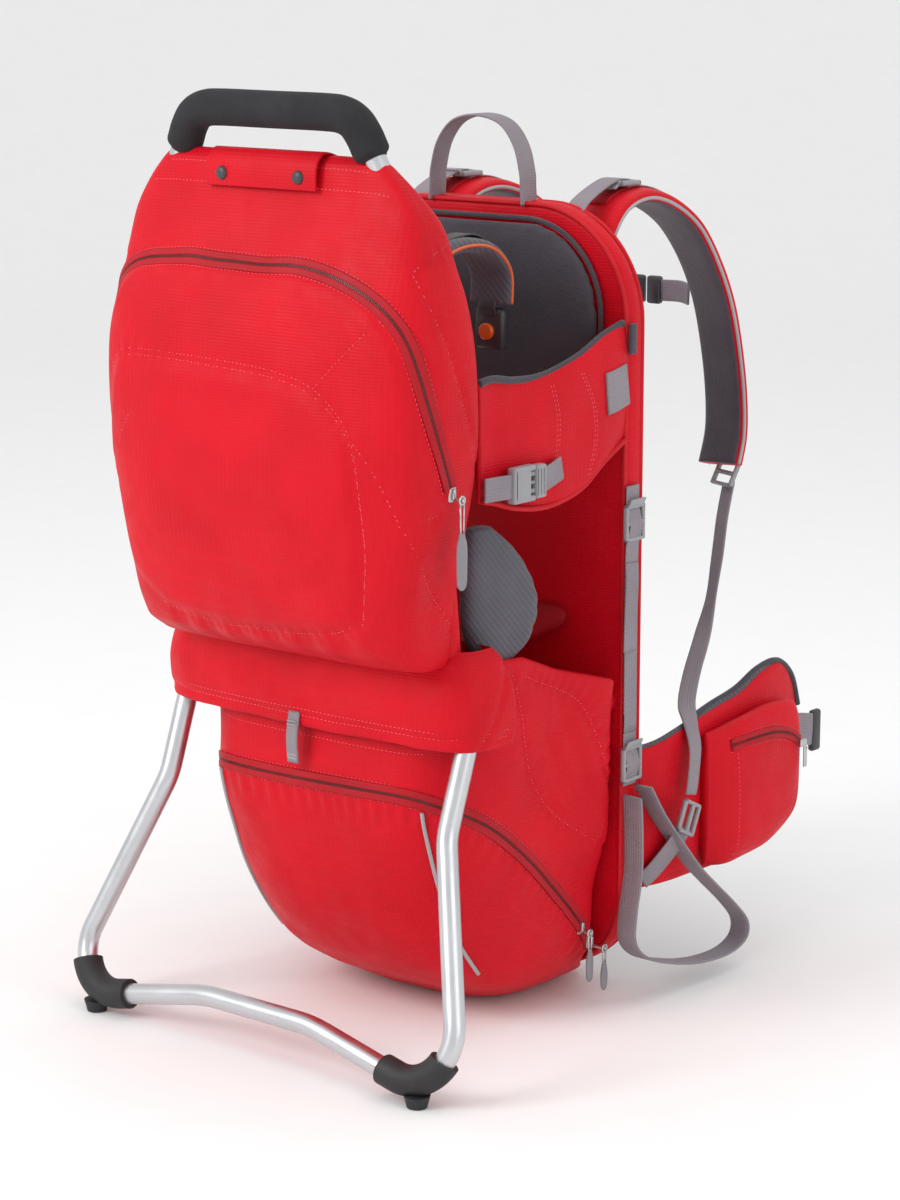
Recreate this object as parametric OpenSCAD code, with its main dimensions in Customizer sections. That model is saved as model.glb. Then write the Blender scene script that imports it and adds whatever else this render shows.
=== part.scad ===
// Child carrier backpack: tube frame with a folding stand, padded harness and two zipped bags.
// Origin on the ground under the middle of the base panel; X is the width, -Y is the stand side,
// +Y is the wearer's side, Z is up. Millimetres.

/* [Frame] */
// Outside diameter of the frame tubes
tube_d = 18; // [17:0.25:18]
// Wall thickness of the frame tubes
tube_wall = 1.5; // [1:0.25:3]
// Half width of the front frame, to the tube's centre
front_half_w = 148; // [146:1:148]
// Height of the front frame's top bar
front_top = 684; // [670:1:688]
// Radius of the front frame's top corners
front_corner_r = 85; // [70:1:95]
// Height of the carrying handle's tube
handle_top = 785; // [783:1:790]
// Diameter of the handle's foam sleeve
foam_d = 30; // [24:1:32]

/* [Stand] */
// Height of the stand's pivots
pivot_z = 290; // [288:1:292]
// Half distance between the stand's legs at the pivots
stand_half_w = 156; // [155.5:0.1:156.5]
// Tilt of the stand from the vertical
stand_tilt = 20; // [19:0.5:21]
// Diameter of the pivot pins
pin_d = 6; // [5:0.5:8]
// Radial play of the pins in their bores
pin_play = 0.05; // [0.02:0.01:0.08]

/* [Back panel] */
// Half width of the back panel
panel_half_w = 162; // [158:1:162]
// Thickness of the back panel
panel_t = 24; // [20:1:24]
// Height of the back panel's top edge
panel_top = 698; // [696:1:698]

/* [Webbing] */
// Width of the wide webbing
web_w = 20; // [16:1:22]
// Thickness of all webbing
web_t = 1.8; // [1.4:0.1:2]

/* [Hidden] */
$fn = 48;
soft_fn = 24;
gap = 0.3;
lap = 0.5;
slim = 0.02;

red = [0.84, 0.06, 0.12];
deep_red = [0.62, 0.05, 0.09];
charcoal = [0.27, 0.25, 0.29];
webbing_grey = [0.57, 0.52, 0.56];
buckle_grey = [0.66, 0.66, 0.68];
dark_plastic = [0.16, 0.15, 0.17];
aluminium = [0.78, 0.79, 0.8];
foam_black = [0.12, 0.11, 0.12];
zinc = [0.72, 0.73, 0.75];
orange = [0.93, 0.33, 0.1];

// ---------- vectors and frames ----------

function unit(v) = v / norm(v);
function mix(a, b, t) = a + (b - a) * t;
function flip_x(p) = [-p.x, p.y, p.z];
function signed_pow(v, e) = sign(v) * pow(abs(v), e);
function side_dir(d) = unit(cross(abs(d.z) > 0.9 ? [1, 0, 0] : [0, 0, 1], d));

// Places its children with their x, y and z axes along three given directions
module placed(at, x_dir, y_dir, z_dir) {
    multmatrix([
        [x_dir.x, y_dir.x, z_dir.x, at.x],
        [x_dir.y, y_dir.y, z_dir.y, at.y],
        [x_dir.z, y_dir.z, z_dir.z, at.z],
        [0, 0, 0, 1]
    ]) children();
}

// Places its children with their z axis along a direction
module aimed(at, dir) {
    z_dir = unit(dir);
    x_dir = side_dir(z_dir);
    placed(at, x_dir, cross(z_dir, x_dir), z_dir) children();
}

// Draws its children, and their mirror image across the middle plane
module both_sides() {
    children();
    mirror([1, 0, 0]) children();
}

module on_side(side) {
    mirror([side < 0 ? 1 : 0, 0, 0]) children();
}

// ---------- bent tubes ----------

function turn_of(a, b, c) = acos(unit(b - a) * unit(c - b));
function trim_of(points, radii, i) =
    i == 0 || i == len(points) - 1 ? 0
    : radii[i - 1] * tan(turn_of(points[i - 1], points[i], points[i + 1]) / 2);

module rod(a, b, d) {
    aimed(a, b - a) cylinder(d = d, h = norm(b - a));
}

// Tube round a corner, between two angles of the turn
module bend(before, corner, after, r, from, to, outer, inner) {
    dir_in = unit(corner - before);
    dir_out = unit(after - corner);
    inward = unit(dir_out - dir_in * (dir_in * dir_out));
    start = corner - dir_in * r * tan(turn_of(before, corner, after) / 2);
    placed(start + inward * r, -inward, dir_in, cross(-inward, dir_in))
        rotate([0, 0, from])
            rotate_extrude(angle = to - from)
                translate([r, 0]) ring(outer - slim, inner + slim);
}

// Tube along straight runs and bends of given radii; each run laps over the bend it meets
module sweep(points, radii, outer, inner) {
    last = len(points) - 1;
    for (i = [0 : last - 1]) {
        run = unit(points[i + 1] - points[i]);
        start = points[i] + run * (trim_of(points, radii, i) - (i == 0 ? 0 : lap));
        end = points[i + 1] - run * (trim_of(points, radii, i + 1) - (i == last - 1 ? 0 : lap));
        aimed(start, run) linear_extrude(norm(end - start)) ring(outer, inner);
    }
    for (i = [1 : last - 1])
        bend(points[i - 1], points[i], points[i + 1], radii[i - 1],
            0, turn_of(points[i - 1], points[i], points[i + 1]), outer, inner);
}

module ring(outer, inner) {
    difference() {
        circle(d = outer);
        circle(d = inner);
    }
}

// A right-hand half path joined to its mirror image
function mirrored_path(half) = concat(
    [for (i = [len(half) - 1 : -1 : 0]) flip_x(half[i])],
    half
);
function mirrored_list(half) = concat([for (i = [len(half) - 1 : -1 : 0]) half[i]], half);

// ---------- lofts and swept bands ----------

// Closed skin through rings that turn right-handed about the direction of travel
module loft(rings) {
    n = len(rings[0]);
    m = len(rings);
    sides = [
        for (i = [0 : m - 2], j = [0 : n - 1])
            let (k = (j + 1) % n)
                each [
                    [i * n + j, (i + 1) * n + j, (i + 1) * n + k],
                    [i * n + j, (i + 1) * n + k, i * n + k]
                ]
    ];
    first_cap = [[for (j = [0 : n - 1]) j]];
    last_cap = [[for (j = [n - 1 : -1 : 0]) (m - 1) * n + j]];
    polyhedron(points = [for (ring = rings) each ring], faces = concat(first_cap, sides, last_cap));
}

// Superellipse ring at height z; a larger power is squarer
function pillow_ring(z, half_w, y_back, y_front, power) = [
    for (i = [0 : soft_fn - 1])
        let (a = 360 * (i + 0.5) / soft_fn)
            [
                half_w * signed_pow(cos(a), 2 / power),
                (y_back + y_front) / 2 + (y_front - y_back) / 2 * signed_pow(sin(a), 2 / power),
                z
            ]
];

// Ring with a flat front at y_front and a rounded back
function bulge_ring(z, half_w, y_back, y_front, power) = [
    for (i = [0 : soft_fn / 2])
        let (a = 180 + 180 * i / (soft_fn / 2))
            [
                half_w * signed_pow(cos(a), 2 / power),
                y_front + (y_front - y_back) * signed_pow(sin(a), 2 / power),
                z
            ]
];

// Eight-cornered band section across path point i
function band_ring(path, i, wide, half_w, half_t) =
    let (
        last = len(path) - 1,
        dir = unit(path[min(i + 1, last)] - path[max(i - 1, 0)]),
        w = unit(wide - dir * (wide * dir)),
        n = cross(dir, w),
        c = min(half_t, half_w) * 0.6
    )
    [
        for (k = [[half_w, c - half_t], [half_w, half_t - c],
                  [half_w - c, half_t], [c - half_w, half_t],
                  [-half_w, half_t - c], [-half_w, c - half_t],
                  [c - half_w, -half_t], [half_w - c, -half_t]])
            path[i] + w * k[0] + n * k[1]
    ];

// Band swept along a path; wide is its width direction, one for all points or one for each
module band(path, wide, w, t) {
    loft([
        for (i = [0 : len(path) - 1])
            band_ring(path, i, is_list(wide[0]) ? wide[i] : wide, w / 2, t / 2)
    ]);
}

// Catmull-Rom points along a hand-set route, with n steps in each span
function smooth(path, n) = [
    for (i = [0 : len(path) - 2], k = [0 : (i == len(path) - 2 ? n : n - 1)])
        let (
            a = path[max(i - 1, 0)],
            b = path[i],
            c = path[i + 1],
            d = path[min(i + 2, len(path) - 1)],
            t = k / n
        )
        0.5 * (
            2 * b + (c - a) * t + (2 * a - 5 * b + 4 * c - d) * t * t
            + (3 * b - a - 3 * c + d) * t * t * t
        )
];

// ---------- flat shapes ----------

// Rectangle from (-half_w, low) to (half_w, high) with its own bottom and top corner radii
module arch_outline(half_w, low, high, low_r, high_r) {
    hull() {
        for (s = [-1, 1]) {
            translate([s * (half_w - low_r), low + low_r]) circle(r = low_r);
            translate([s * (half_w - high_r), high - high_r]) circle(r = high_r);
        }
    }
}

module rounded_rect(w, h, r) {
    arch_outline(w / 2, -h / 2, h / 2, r, r);
}

// Upright slab from y_from to y_to, with its outline drawn in x and z
module upright(y_from, y_to) {
    translate([0, y_to, 0]) rotate([90, 0, 0]) linear_extrude(y_to - y_from) children();
}

// Ladder-lock body: a frame with two bars, flat in its own xy plane
module ladder_lock(w, h, t) {
    bar = 3;
    window_h = (h - 3 * bar) / 2;
    difference() {
        linear_extrude(t) rounded_rect(w, h, 3);
        for (s = [-1, 1])
            translate([0, s * (window_h + bar) / 2, -1])
                linear_extrude(t + 2) square([w - 2 * bar, window_h], center = true);
    }
}

// ---------- tube frame ----------

bore_d = tube_d - 2 * tube_wall;
front_y = 32;
front_foot_z = 75;
front_path = mirrored_path([[front_half_w, front_y, front_top], [front_half_w, front_y, front_foot_z]]);

module front_frame() {
    color(aluminium) sweep(front_path, [front_corner_r, front_corner_r], tube_d, bore_d);
}

crossbar_heights = [110, 340, 590];
crossbar_d = 14;
sleeve_play = 0.1;

// Room for the front frame's two legs
module front_leg_clearance() {
    both_sides()
        rod([front_half_w, front_y, 0], [front_half_w, front_y, front_top], tube_d + sleeve_play);
}

module crossbars() {
    color(aluminium)
        difference() {
            for (z = crossbar_heights)
                rod([-front_half_w, front_y, z], [front_half_w, front_y, z], crossbar_d);
            front_leg_clearance();
        }
}

pivot_y = -184;
rear_leg_x = 136;
handle_y = -243;
handle_corner = [85, handle_y, handle_top];
handle_corner_r = 45;
rear_shoulder = [112, -238, 735];
rear_path = mirrored_path([
    handle_corner,
    rear_shoulder,
    [146, -229, 650],
    [rear_leg_x - 0.3, pivot_y + 1.25, pivot_z - 10]
]);
rear_radii = mirrored_list([handle_corner_r, 60, 120]);

module pivot_bores() {
    rod([-200, pivot_y, pivot_z], [200, pivot_y, pivot_z], pin_d + 2 * pin_play);
}

module rear_frame() {
    color(aluminium)
        difference() {
            sweep(rear_path, rear_radii, tube_d, bore_d);
            pivot_bores();
        }
}

foam_path = mirrored_path([handle_corner, mix(handle_corner, rear_shoulder, 0.58)]);

module handle_grip() {
    color(foam_black) sweep(foam_path, [handle_corner_r, handle_corner_r], foam_d, tube_d + sleeve_play);
}

brace_d = 12;
brace_front = [146.5, front_y, 268];
brace_rear = [rear_leg_x, -188, 318];

module side_braces() {
    color(aluminium)
        difference() {
            both_sides() rod(brace_front, brace_rear, brace_d);
            front_leg_clearance();
            both_sides() rod(rear_path[7], rear_path[6], tube_d + sleeve_play);
        }
}

spacer_inner = rear_leg_x + tube_d / 2;
spacer_outer = stand_half_w - tube_d / 2;

module pivot_spacers() {
    color(dark_plastic)
        both_sides()
            difference() {
                rod([spacer_inner + 0.1, pivot_y, pivot_z], [spacer_outer - 0.1, pivot_y, pivot_z], 16);
                pivot_bores();
            }
}

pin_inner = rear_leg_x - tube_d / 2 - 0.1;
pin_outer = stand_half_w + tube_d / 2 + 0.1;
pin_head_d = 11;
pin_head_t = 2;

module pivot_pins() {
    color(zinc)
        both_sides() {
            rod([pin_inner, pivot_y, pivot_z], [pin_outer, pivot_y, pivot_z], pin_d);
            rod([pin_inner - pin_head_t, pivot_y, pivot_z], [pin_inner, pivot_y, pivot_z], pin_head_d);
            rod([pin_outer, pivot_y, pivot_z], [pin_outer + pin_head_t, pivot_y, pivot_z], pin_head_d);
        }
}

// ---------- folding stand ----------

function stand_y(z) = pivot_y + (z - pivot_z) * tan(stand_tilt);
function stand_at(x, z) = [x, stand_y(z), z];

stand_knee_z = 203;
stand_corner = [226, 6];
stand_corner_r = 40;
stand_path = mirrored_path([
    stand_at(60, 38),
    stand_at(stand_corner.x, stand_corner.y),
    stand_at(stand_half_w, stand_knee_z),
    stand_at(stand_half_w, pivot_z + 9.4)
]);
stand_radii = mirrored_list([150, stand_corner_r, 60]);

module stand_tube() {
    color(aluminium)
        difference() {
            sweep(stand_path, stand_radii, tube_d, bore_d);
            pivot_bores();
        }
}

foot_x = 182;
foot_y = stand_y(0);
foot_sleeve_d = 26;
foot_from = 44;
foot_straight = 14;
foot_peg_h = 10;
stand_leg_dir = unit(stand_path[5] - stand_path[6]);
stand_bar_dir = unit(stand_path[4] - stand_path[5]);
stand_turn = turn_of(stand_path[6], stand_path[5], stand_path[4]);
foot_bar_start = stand_path[5] + stand_bar_dir * stand_corner_r * tan(stand_turn / 2);

module foot() {
    bend(stand_path[6], stand_path[5], stand_path[4], stand_corner_r, foot_from, stand_turn,
        foot_sleeve_d, tube_d + sleeve_play);
    aimed(foot_bar_start - stand_bar_dir * lap, stand_bar_dir)
        linear_extrude(foot_straight + lap) ring(foot_sleeve_d, tube_d + sleeve_play);
    translate([foot_x, foot_y + 4, 0]) cylinder(d1 = 17, d2 = 22, h = foot_peg_h);
}

module stand_feet() {
    color(foam_black) both_sides() foot();
}

// ---------- front: back panel and pads ----------

panel_y = front_y - panel_t / 2;
panel_face_y = front_y + panel_t / 2;
base_top = 20;

module back_panel() {
    color(red)
        upright(panel_y, panel_face_y)
            arch_outline(panel_half_w, base_top + gap, panel_top, 75, 98);
}

module head_pad() {
    color(charcoal)
        upright(panel_y - 13, panel_y - gap)
            arch_outline(138, 500, 685, 20, 80);
}

module back_pad() {
    color(charcoal)
        upright(panel_face_y + gap, panel_face_y + 20)
            arch_outline(128, 240, 600, 40, 70);
}

module lumbar_pad() {
    color(charcoal)
        upright(panel_face_y + gap, panel_face_y + 30)
            arch_outline(140, 32, 228, 60, 50);
}

// Fixed inner end of each hip fin, sewn to the side of the back panel
root_path = [[156, 46, 160], [163, 70, 160], [166, 92, 160], [167, 112, 160]];
fin_up = [0, 0, 1];
fin_t = 13;
root_h = 128;

module hip_roots() {
    color(red) both_sides() band(root_path, fin_up, root_h, fin_t);
}

// ---------- base and bags ----------

base_rings = [
    [0, 62, -46, 72], [2, 72, -56, 75], [8, 84, -68, 77], [base_top, 98, -88, 78]
];

module base_panel() {
    color(deep_red)
        loft([for (r = base_rings) pillow_ring(r[0], r[1], r[2], r[3], 4)]);
}

lower_bag_rings = [
    [base_top + gap, 110, -92], [32, 126, -118], [45, 133, -136], [62, 137, -152], [100, 141, -172],
    [150, 145, -188], [200, 146, -200], [228, 146, -205], [258, 144, -200]
];

module lower_bag() {
    color(red)
        loft([for (r = lower_bag_rings) bulge_ring(r[0], r[1], r[2], panel_y - gap, 4)]);
}

rear_body_rings = [
    [345, 158, -234, -184], [375, 160, -236, -178], [440, 163, -240, -172], [520, 166, -240, -168],
    [600, 166, -240, -172], [650, 164, -240, -180], [668, 162, -240, -187], [695, 156, -248, -198],
    [722, 138, -252, -214], [746, 118, -253, -227]
];

module rear_body() {
    color(red)
        loft([for (r = rear_body_rings) pillow_ring(r[0], r[1], r[2], r[3], 4)]);
}

pocket_back_y = -240.5;
upper_pocket_rings = [
    [352, 112, -258], [372, 130, -274], [420, 150, -286], [480, 168, -291], [540, 176, -291],
    [590, 172, -289], [630, 152, -283], [654, 120, -274], [668, 78, -260]
];

module upper_pocket() {
    color(red)
        loft([for (r = upper_pocket_rings) bulge_ring(r[0], r[1], r[2], pocket_back_y, 3)]);
}

// C-shaped fabric band round the back of both legs, open towards the wearer
skirt_y = -150;
skirt_t = 2.2;
skirt_power = 6;

function skirt_arc(z, half_w, depth) = [
    for (i = [0 : 16])
        let (a = 180 + 180 * i / 16)
            [
                half_w * signed_pow(cos(a), 2 / skirt_power),
                skirt_y + depth * signed_pow(sin(a), 2 / skirt_power),
                z
            ]
];
function reversed(list) = [for (i = [len(list) - 1 : -1 : 0]) list[i]];
function skirt_ring(z, half_w, depth) = concat(
    skirt_arc(z, half_w, depth),
    reversed(skirt_arc(z, half_w - skirt_t, depth - skirt_t))
);

module skirt_band() {
    color(red)
        loft([skirt_ring(272, 174, 64), skirt_ring(300, 174, 64), skirt_ring(344.6, 172, 66)]);
}

// ---------- cabin ----------

// Thin side wall below each leg opening: [y, top z]
side_panel_tops = [[-146, 334], [-110, 332], [-60, 312], [0, 294], [panel_y - gap, 289]];
side_panel_x = 153;
side_panel_low = 258 + gap;
side_panel_bottoms = [[panel_y - gap, side_panel_low], [-146, side_panel_low]];

module side_panels() {
    color(red)
        both_sides()
            translate([side_panel_x, 0, 0])
                rotate([90, 0, 90])
                    linear_extrude(5)
                        polygon(concat(side_panel_tops, side_panel_bottoms));
}

// Sling seat: [y, half width, low z, high z]
seat_sections = [
    [-150, 108, 318, 338], [-110, 84, 306, 330], [-60, 62, 300, 326], [-15, 70, 304, 332],
    [14, 104, 320, 352]
];

module seat() {
    color(deep_red)
        loft([
            for (s = seat_sections)
                [
                    for (i = [0 : soft_fn - 1])
                        let (a = 360 * (i + 0.5) / soft_fn)
                            [
                                s[1] * signed_pow(sin(a), 0.5),
                                s[0],
                                (s[2] + s[3]) / 2 + (s[3] - s[2]) / 2 * signed_pow(cos(a), 0.5)
                            ]
                ]
        ]);
}

// Side wing of the cabin: [y, x, low z, high z]
wing_sections = [
    [-158, 152, 470, 574], [-130, 157, 462, 570], [-90, 160, 458, 570], [-45, 161, 466, 580],
    [-10, 160, 486, 594], [panel_y - gap, 157, 500, 602]
];
wing_t = 9;

module wing_shell() {
    loft([
        for (s = wing_sections)
            [
                for (k = [[1, 0], [0.7, 1], [-0.7, 1], [-1, 0], [-0.7, -1], [0.7, -1]])
                    [
                        s[1] + k[1] * wing_t / 2,
                        s[0],
                        (s[2] + s[3]) / 2 + k[0] * (s[3] - s[2]) / 2
                    ]
            ]
    ]);
}

module side_wings() {
    color(red) both_sides() wing_shell();
}

// Ribbed cushion at the back of each leg opening: [z, y back, y front]
leg_pad_rings = [
    [334, -140, -106], [345, -158, -88], [367, -165, -75], [390, -166, -80], [422, -166, -104],
    [448, -162, -136]
];

module leg_pad() {
    loft([
        for (r = leg_pad_rings)
            [
                for (p = pillow_ring(r[0], 13, r[1], r[2], 3))
                    [p.x + 135, p.y, p.z]
            ]
    ]);
}

module leg_pads() {
    color(charcoal) both_sides() leg_pad();
}

// Child harness: a padded band over each shoulder of the child
harness_route = [
    [58, -171, 624], [58, -150, 650], [58, -105, 668], [58, -62, 666], [58, -36, 645], [58, -34, 616]
];
harness_pad_w = 44;
harness_pad_t = 11;

module harness_pads() {
    color(charcoal)
        both_sides() band(smooth(harness_route, 2), [1, 0, 0], harness_pad_w, harness_pad_t);
}

harness_buckle_at = [58, -34, 596];
harness_buckle_w = 30;
harness_buckle_h = 36;
harness_buckle_t = 12;
button_d = 14;
button_t = 5;
button_play = 0.8;
button_drop = 4;

module harness_buckle() {
    color(dark_plastic)
        translate(harness_buckle_at)
            difference() {
                translate([0, 0, -button_drop / 2])
                    rotate([90, 0, 0])
                        linear_extrude(harness_buckle_t, center = true)
                            rounded_rect(harness_buckle_w, harness_buckle_h, 6);
                translate([0, -harness_buckle_t / 2, -button_drop])
                    rotate([90, 0, 0])
                        cylinder(d = button_d + button_play, h = 9, center = true);
            }
}

module harness_button() {
    color(orange)
        translate(harness_buckle_at + [0, -7, -button_drop])
            rotate([90, 0, 0])
                cylinder(d = button_d, h = button_t, center = true);
}

// ---------- side-release buckles on the wings ----------

buckle_z = 486;
buckle_x = 170;
buckle_t = 9;
prong_t = 4;
socket_mouth = [20, 22, 5];
socket_web = [[167.6, -176, buckle_z], [168.6, -164, buckle_z], [buckle_x, -151, buckle_z]];
plug_web = [[buckle_x, -106.5, buckle_z], [169, -96, buckle_z + 2], [167.6, -80, buckle_z + 6]];

module side_buckle_sockets() {
    color(buckle_grey)
        both_sides() {
            translate([buckle_x, -136, buckle_z])
                rotate([90, 0, 90])
                    difference() {
                        linear_extrude(buckle_t, center = true) rounded_rect(28, 30, 5);
                        translate([socket_mouth.x / 2, 0, 0]) cube(socket_mouth, center = true);
                    }
            band(socket_web, [0, 0, 1], web_w, web_t);
        }
}

module side_buckle_plug() {
    translate([buckle_x, 0, buckle_z])
        rotate([90, 0, 90]) {
            translate([-114, 0, 0]) linear_extrude(buckle_t, center = true) rounded_rect(14, 28, 4);
            for (s = [-1, 1])
                translate([-124, s * 7, 0]) cube([14, prong_t, prong_t], center = true);
            translate([-124, 0, 0]) cube([14, 3, prong_t], center = true);
        }
    band(plug_web, [0, 0, 1], web_w, web_t);
}

module side_buckle_plug_left() {
    color(buckle_grey) on_side(-1) side_buckle_plug();
}

module side_buckle_plug_right() {
    color(buckle_grey) on_side(1) side_buckle_plug();
}

// ---------- compression straps down both edges of the back panel ----------

strap_x = panel_half_w + 1.6;
strap_w = 18;
strap_upper = [[strap_x, 26, 404], [strap_x, 26, 240]];
strap_tab = [[strap_x, 26, 462], [strap_x, 26, 452]];

module compression_straps() {
    color(webbing_grey)
        both_sides() {
            band(strap_upper, [0, 1, 0], strap_w, web_t);
            band(strap_tab, [0, 1, 0], strap_w, web_t);
        }
}

lock_w = 26;
lock_h = 34;
lock_t = 5;
lock_heights = [430, 217];

module compression_buckles() {
    color(buckle_grey)
        both_sides()
            for (z = lock_heights)
                translate([panel_half_w + 1, 27, z]) rotate([90, 0, 90]) ladder_lock(lock_w, lock_h, lock_t);
}

// Loose tail of each compression strap, hanging in a big loop
loop_route = [
    [174, 34, 196], [176, 52, 168], [181, 74, 138], [186, 94, 112], [188, 118, 90], [189, 146, 66],
    [188, 168, 44], [185, 170, 26], [184, 146, 18], [182, 104, 20], [180, 62, 30], [178, 26, 44],
    [176, 10, 62], [174, 14, 88], [173, 22, 120], [173, 22, 158], [174, 18, 190]
];
cord_t = 3;

module loop_webbing_left() {
    color(webbing_grey) on_side(-1) band(smooth(loop_route, 2), [1, 0, 0], web_w, cord_t);
}

module loop_webbing_right() {
    color(webbing_grey) on_side(1) band(smooth(loop_route, 2), [1, 0, 0], web_w, cord_t);
}

// Buckle outboard of each hip root that anchors the shoulder strap's lower webbing
ring_at = [184, 86, 158];
ring_turn = 64;
ring_tie = [[166.5, 50, 106], [171, 58, 116], [176, 66, 128]];

module hip_rings() {
    color(buckle_grey)
        both_sides() {
            translate(ring_at)
                rotate([0, 90, 0])
                    rotate([0, 0, ring_turn])
                        ladder_lock(lock_h, lock_w, lock_t);
            band(ring_tie, [0, 1, -1], web_w, web_t);
        }
}

gear_loop_path = [[-8, -217, 282], [-8, -221, 262], [-8, -219, 240]];
gear_loop_w = 12;

module gear_loop() {
    color(webbing_grey) band(gear_loop_path, [1, 0, 0], gear_loop_w, cord_t);
}

// ---------- shoulder straps ----------

shoulder_x = 88;
shoulder_route = [
    [52, 636], [60, 666], [84, 691], [120, 699], [160, 690], [200, 668], [232, 634], [255, 596],
    [269, 556], [279, 510], [281, 470], [272, 440]
];
shoulder_w = 60;
shoulder_t = 14;
shoulder_toe_in = 19;

function shoulder_point(p) = [shoulder_x, p[0], p[1]];
shoulder_path = [for (p = shoulder_route) shoulder_point(p)];
shoulder_wide = [
    for (i = [0 : len(shoulder_route) - 1])
        let (a = shoulder_toe_in * min(1, i / 6)) [cos(a), -sin(a), 0]
];

module shoulder_strap() {
    band(shoulder_path, shoulder_wide, shoulder_w, shoulder_t);
}

module shoulder_strap_left() {
    color(red) on_side(-1) shoulder_strap();
}

module shoulder_strap_right() {
    color(red) on_side(1) shoulder_strap();
}

lifter_buckle_at = [shoulder_x, 106, 709];
lifter_web = [[shoulder_x, 68, 702], [shoulder_x, 77, 707.5], [shoulder_x, 88, 711.6]];
lower_lock_at = [shoulder_x + 4, 282, 434];
lower_lock_tilt = 62;

module strap_buckles() {
    translate(lifter_buckle_at) rotate([-2, 0, 0]) ladder_lock(28, 32, lock_t);
    band(lifter_web, [1, 0, 0], web_w, web_t);
    translate(lower_lock_at)
        rotate([lower_lock_tilt, 0, -shoulder_toe_in])
            ladder_lock(lock_h, lock_w, lock_t);
}

module strap_buckles_left() {
    color(buckle_grey) on_side(-1) strap_buckles();
}

module strap_buckles_right() {
    color(buckle_grey) on_side(1) strap_buckles();
}

// Each half of the sternum strap runs from the inner edge of its shoulder strap to the middle
sternum_z = 596;
sternum_route = [[56, 262, sternum_z], [40, 270, sternum_z + 1], [17, 274, sternum_z]];
clip_at = [9.5, 274, sternum_z];

// The two halves meet at the middle; the right half's clip is the taller one
module sternum_half(clip_h) {
    band(sternum_route, [0, 0, 1], web_w, web_t);
    translate(clip_at)
        rotate([90, 0, 0])
            linear_extrude(8, center = true)
                rounded_rect(15, clip_h, 4);
}

module sternum_strap_right() {
    color(dark_plastic) on_side(1) sternum_half(28);
}

module sternum_strap_left() {
    color(dark_plastic) on_side(-1) sternum_half(26);
}

// Lower webbing: from each shoulder strap's end over the hip root to its anchor buckle
lower_route = [
    [93, 279, 421], [98, 262, 392], [104, 246, 358], [111, 226, 322], [119, 200, 289],
    [130, 170, 266], [148, 136, 248], [168, 112, 238], [182, 101, 218], [185, 94, 190], [185, 91, 178]
];
lower_wide = [
    [0.95, -0.33, 0], [0.95, -0.33, 0], [0.95, -0.33, 0], [0.9, -0.4, 0.1], [0.8, 0.5, 0.3],
    [0.5, 0.8, 0.3], [0.3, 0.9, 0.2], [0.1, 1, 0], [0, 1, 0.1], [0, 1, 0.1], [0, 1, 0.1]
];

lower_web_w = 16;

module lower_webbing_left() {
    color(webbing_grey) on_side(-1) band(lower_route, lower_wide, lower_web_w, cord_t);
}

module lower_webbing_right() {
    color(webbing_grey) on_side(1) band(lower_route, lower_wide, lower_web_w, cord_t);
}

// ---------- hip fins ----------

// Swinging fin: [y, x, low z, high z]
fin_sections = [
    [119, 167, 98, 234], [150, 169, 97, 240], [190, 170, 99, 248], [225, 169, 106, 264],
    [258, 166, 120, 266], [284, 162, 146, 244], [294, 160, 168, 214]
];

module hip_fin() {
    loft([
        for (s = fin_sections)
            [
                for (k = [[1, 0], [0.8, 1], [-0.8, 1], [-1, 0], [-0.8, -1], [0.8, -1]])
                    [s[1] + k[1] * fin_t / 2, s[0], (s[2] + s[3]) / 2 + k[0] * (s[3] - s[2]) / 2]
            ]
    ]);
}

module hip_fin_left() {
    color(charcoal) on_side(-1) hip_fin();
}

module hip_fin_right() {
    color(charcoal) on_side(1) hip_fin();
}

// Zipped pocket on the outside of each fin: [y, x inner, x outer, low z, high z]
hip_pocket_sections = [
    [122, 174.2, 184, 104, 228], [138, 176, 196, 102, 232], [160, 177, 200, 103, 236],
    [205, 177, 200, 108, 240], [254, 175, 200, 124, 236], [268, 173, 190, 136, 222]
];

module hip_pocket() {
    loft([
        for (s = hip_pocket_sections)
            [
                for (k = [[1, 0], [0.95, 0.6], [0.6, 1], [-0.6, 1], [-0.95, 0.6], [-1, 0]])
                    [mix(s[1], s[2], k[1]), s[0], (s[3] + s[4]) / 2 + k[0] * (s[4] - s[3]) / 2]
            ]
    ]);
}

module hip_pocket_left() {
    color(red) on_side(-1) hip_pocket();
}

module hip_pocket_right() {
    color(red) on_side(1) hip_pocket();
}

belt_path = [[166, 287, 196], [168, 304, 192], [164, 318, 188]];
belt_w = 30;
belt_clip_at = [164, 325, 186];
belt_clip_turn = 98;

module belt_end() {
    band(belt_path, fin_up, belt_w, web_t);
    translate(belt_clip_at)
        rotate([90, 0, belt_clip_turn])
            linear_extrude(6, center = true)
                rounded_rect(12, 40, 4);
}

module belt_end_left() {
    color(dark_plastic) on_side(-1) belt_end();
}

module belt_end_right() {
    color(dark_plastic) on_side(1) belt_end();
}

hip_slider_at = [202.3, 246, 196];
hip_slider_size = [3, 10, 7];
hip_tab_size = [1.6, 6, 26];

module hip_slider() {
    translate(hip_slider_at) {
        cube(hip_slider_size, center = true);
        translate([0.5, 3, -14]) cube(hip_tab_size, center = true);
    }
}

module hip_slider_left() {
    color(zinc) on_side(-1) hip_slider();
}

module hip_slider_right() {
    color(zinc) on_side(1) hip_slider();
}

// ---------- flap, sliders, pulls and grab loop ----------

flap_path = [[0, -238, 750], [0, -247, 753.5], [0, -255.5, 747], [0, -258, 724]];
flap_w = 118;
flap_t = 2.4;

module snap_flap() {
    color(red) band(flap_path, [1, 0, 0], flap_w, flap_t);
}

snap_at = [41, -258.6, 734];
snap_d = 11;

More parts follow.
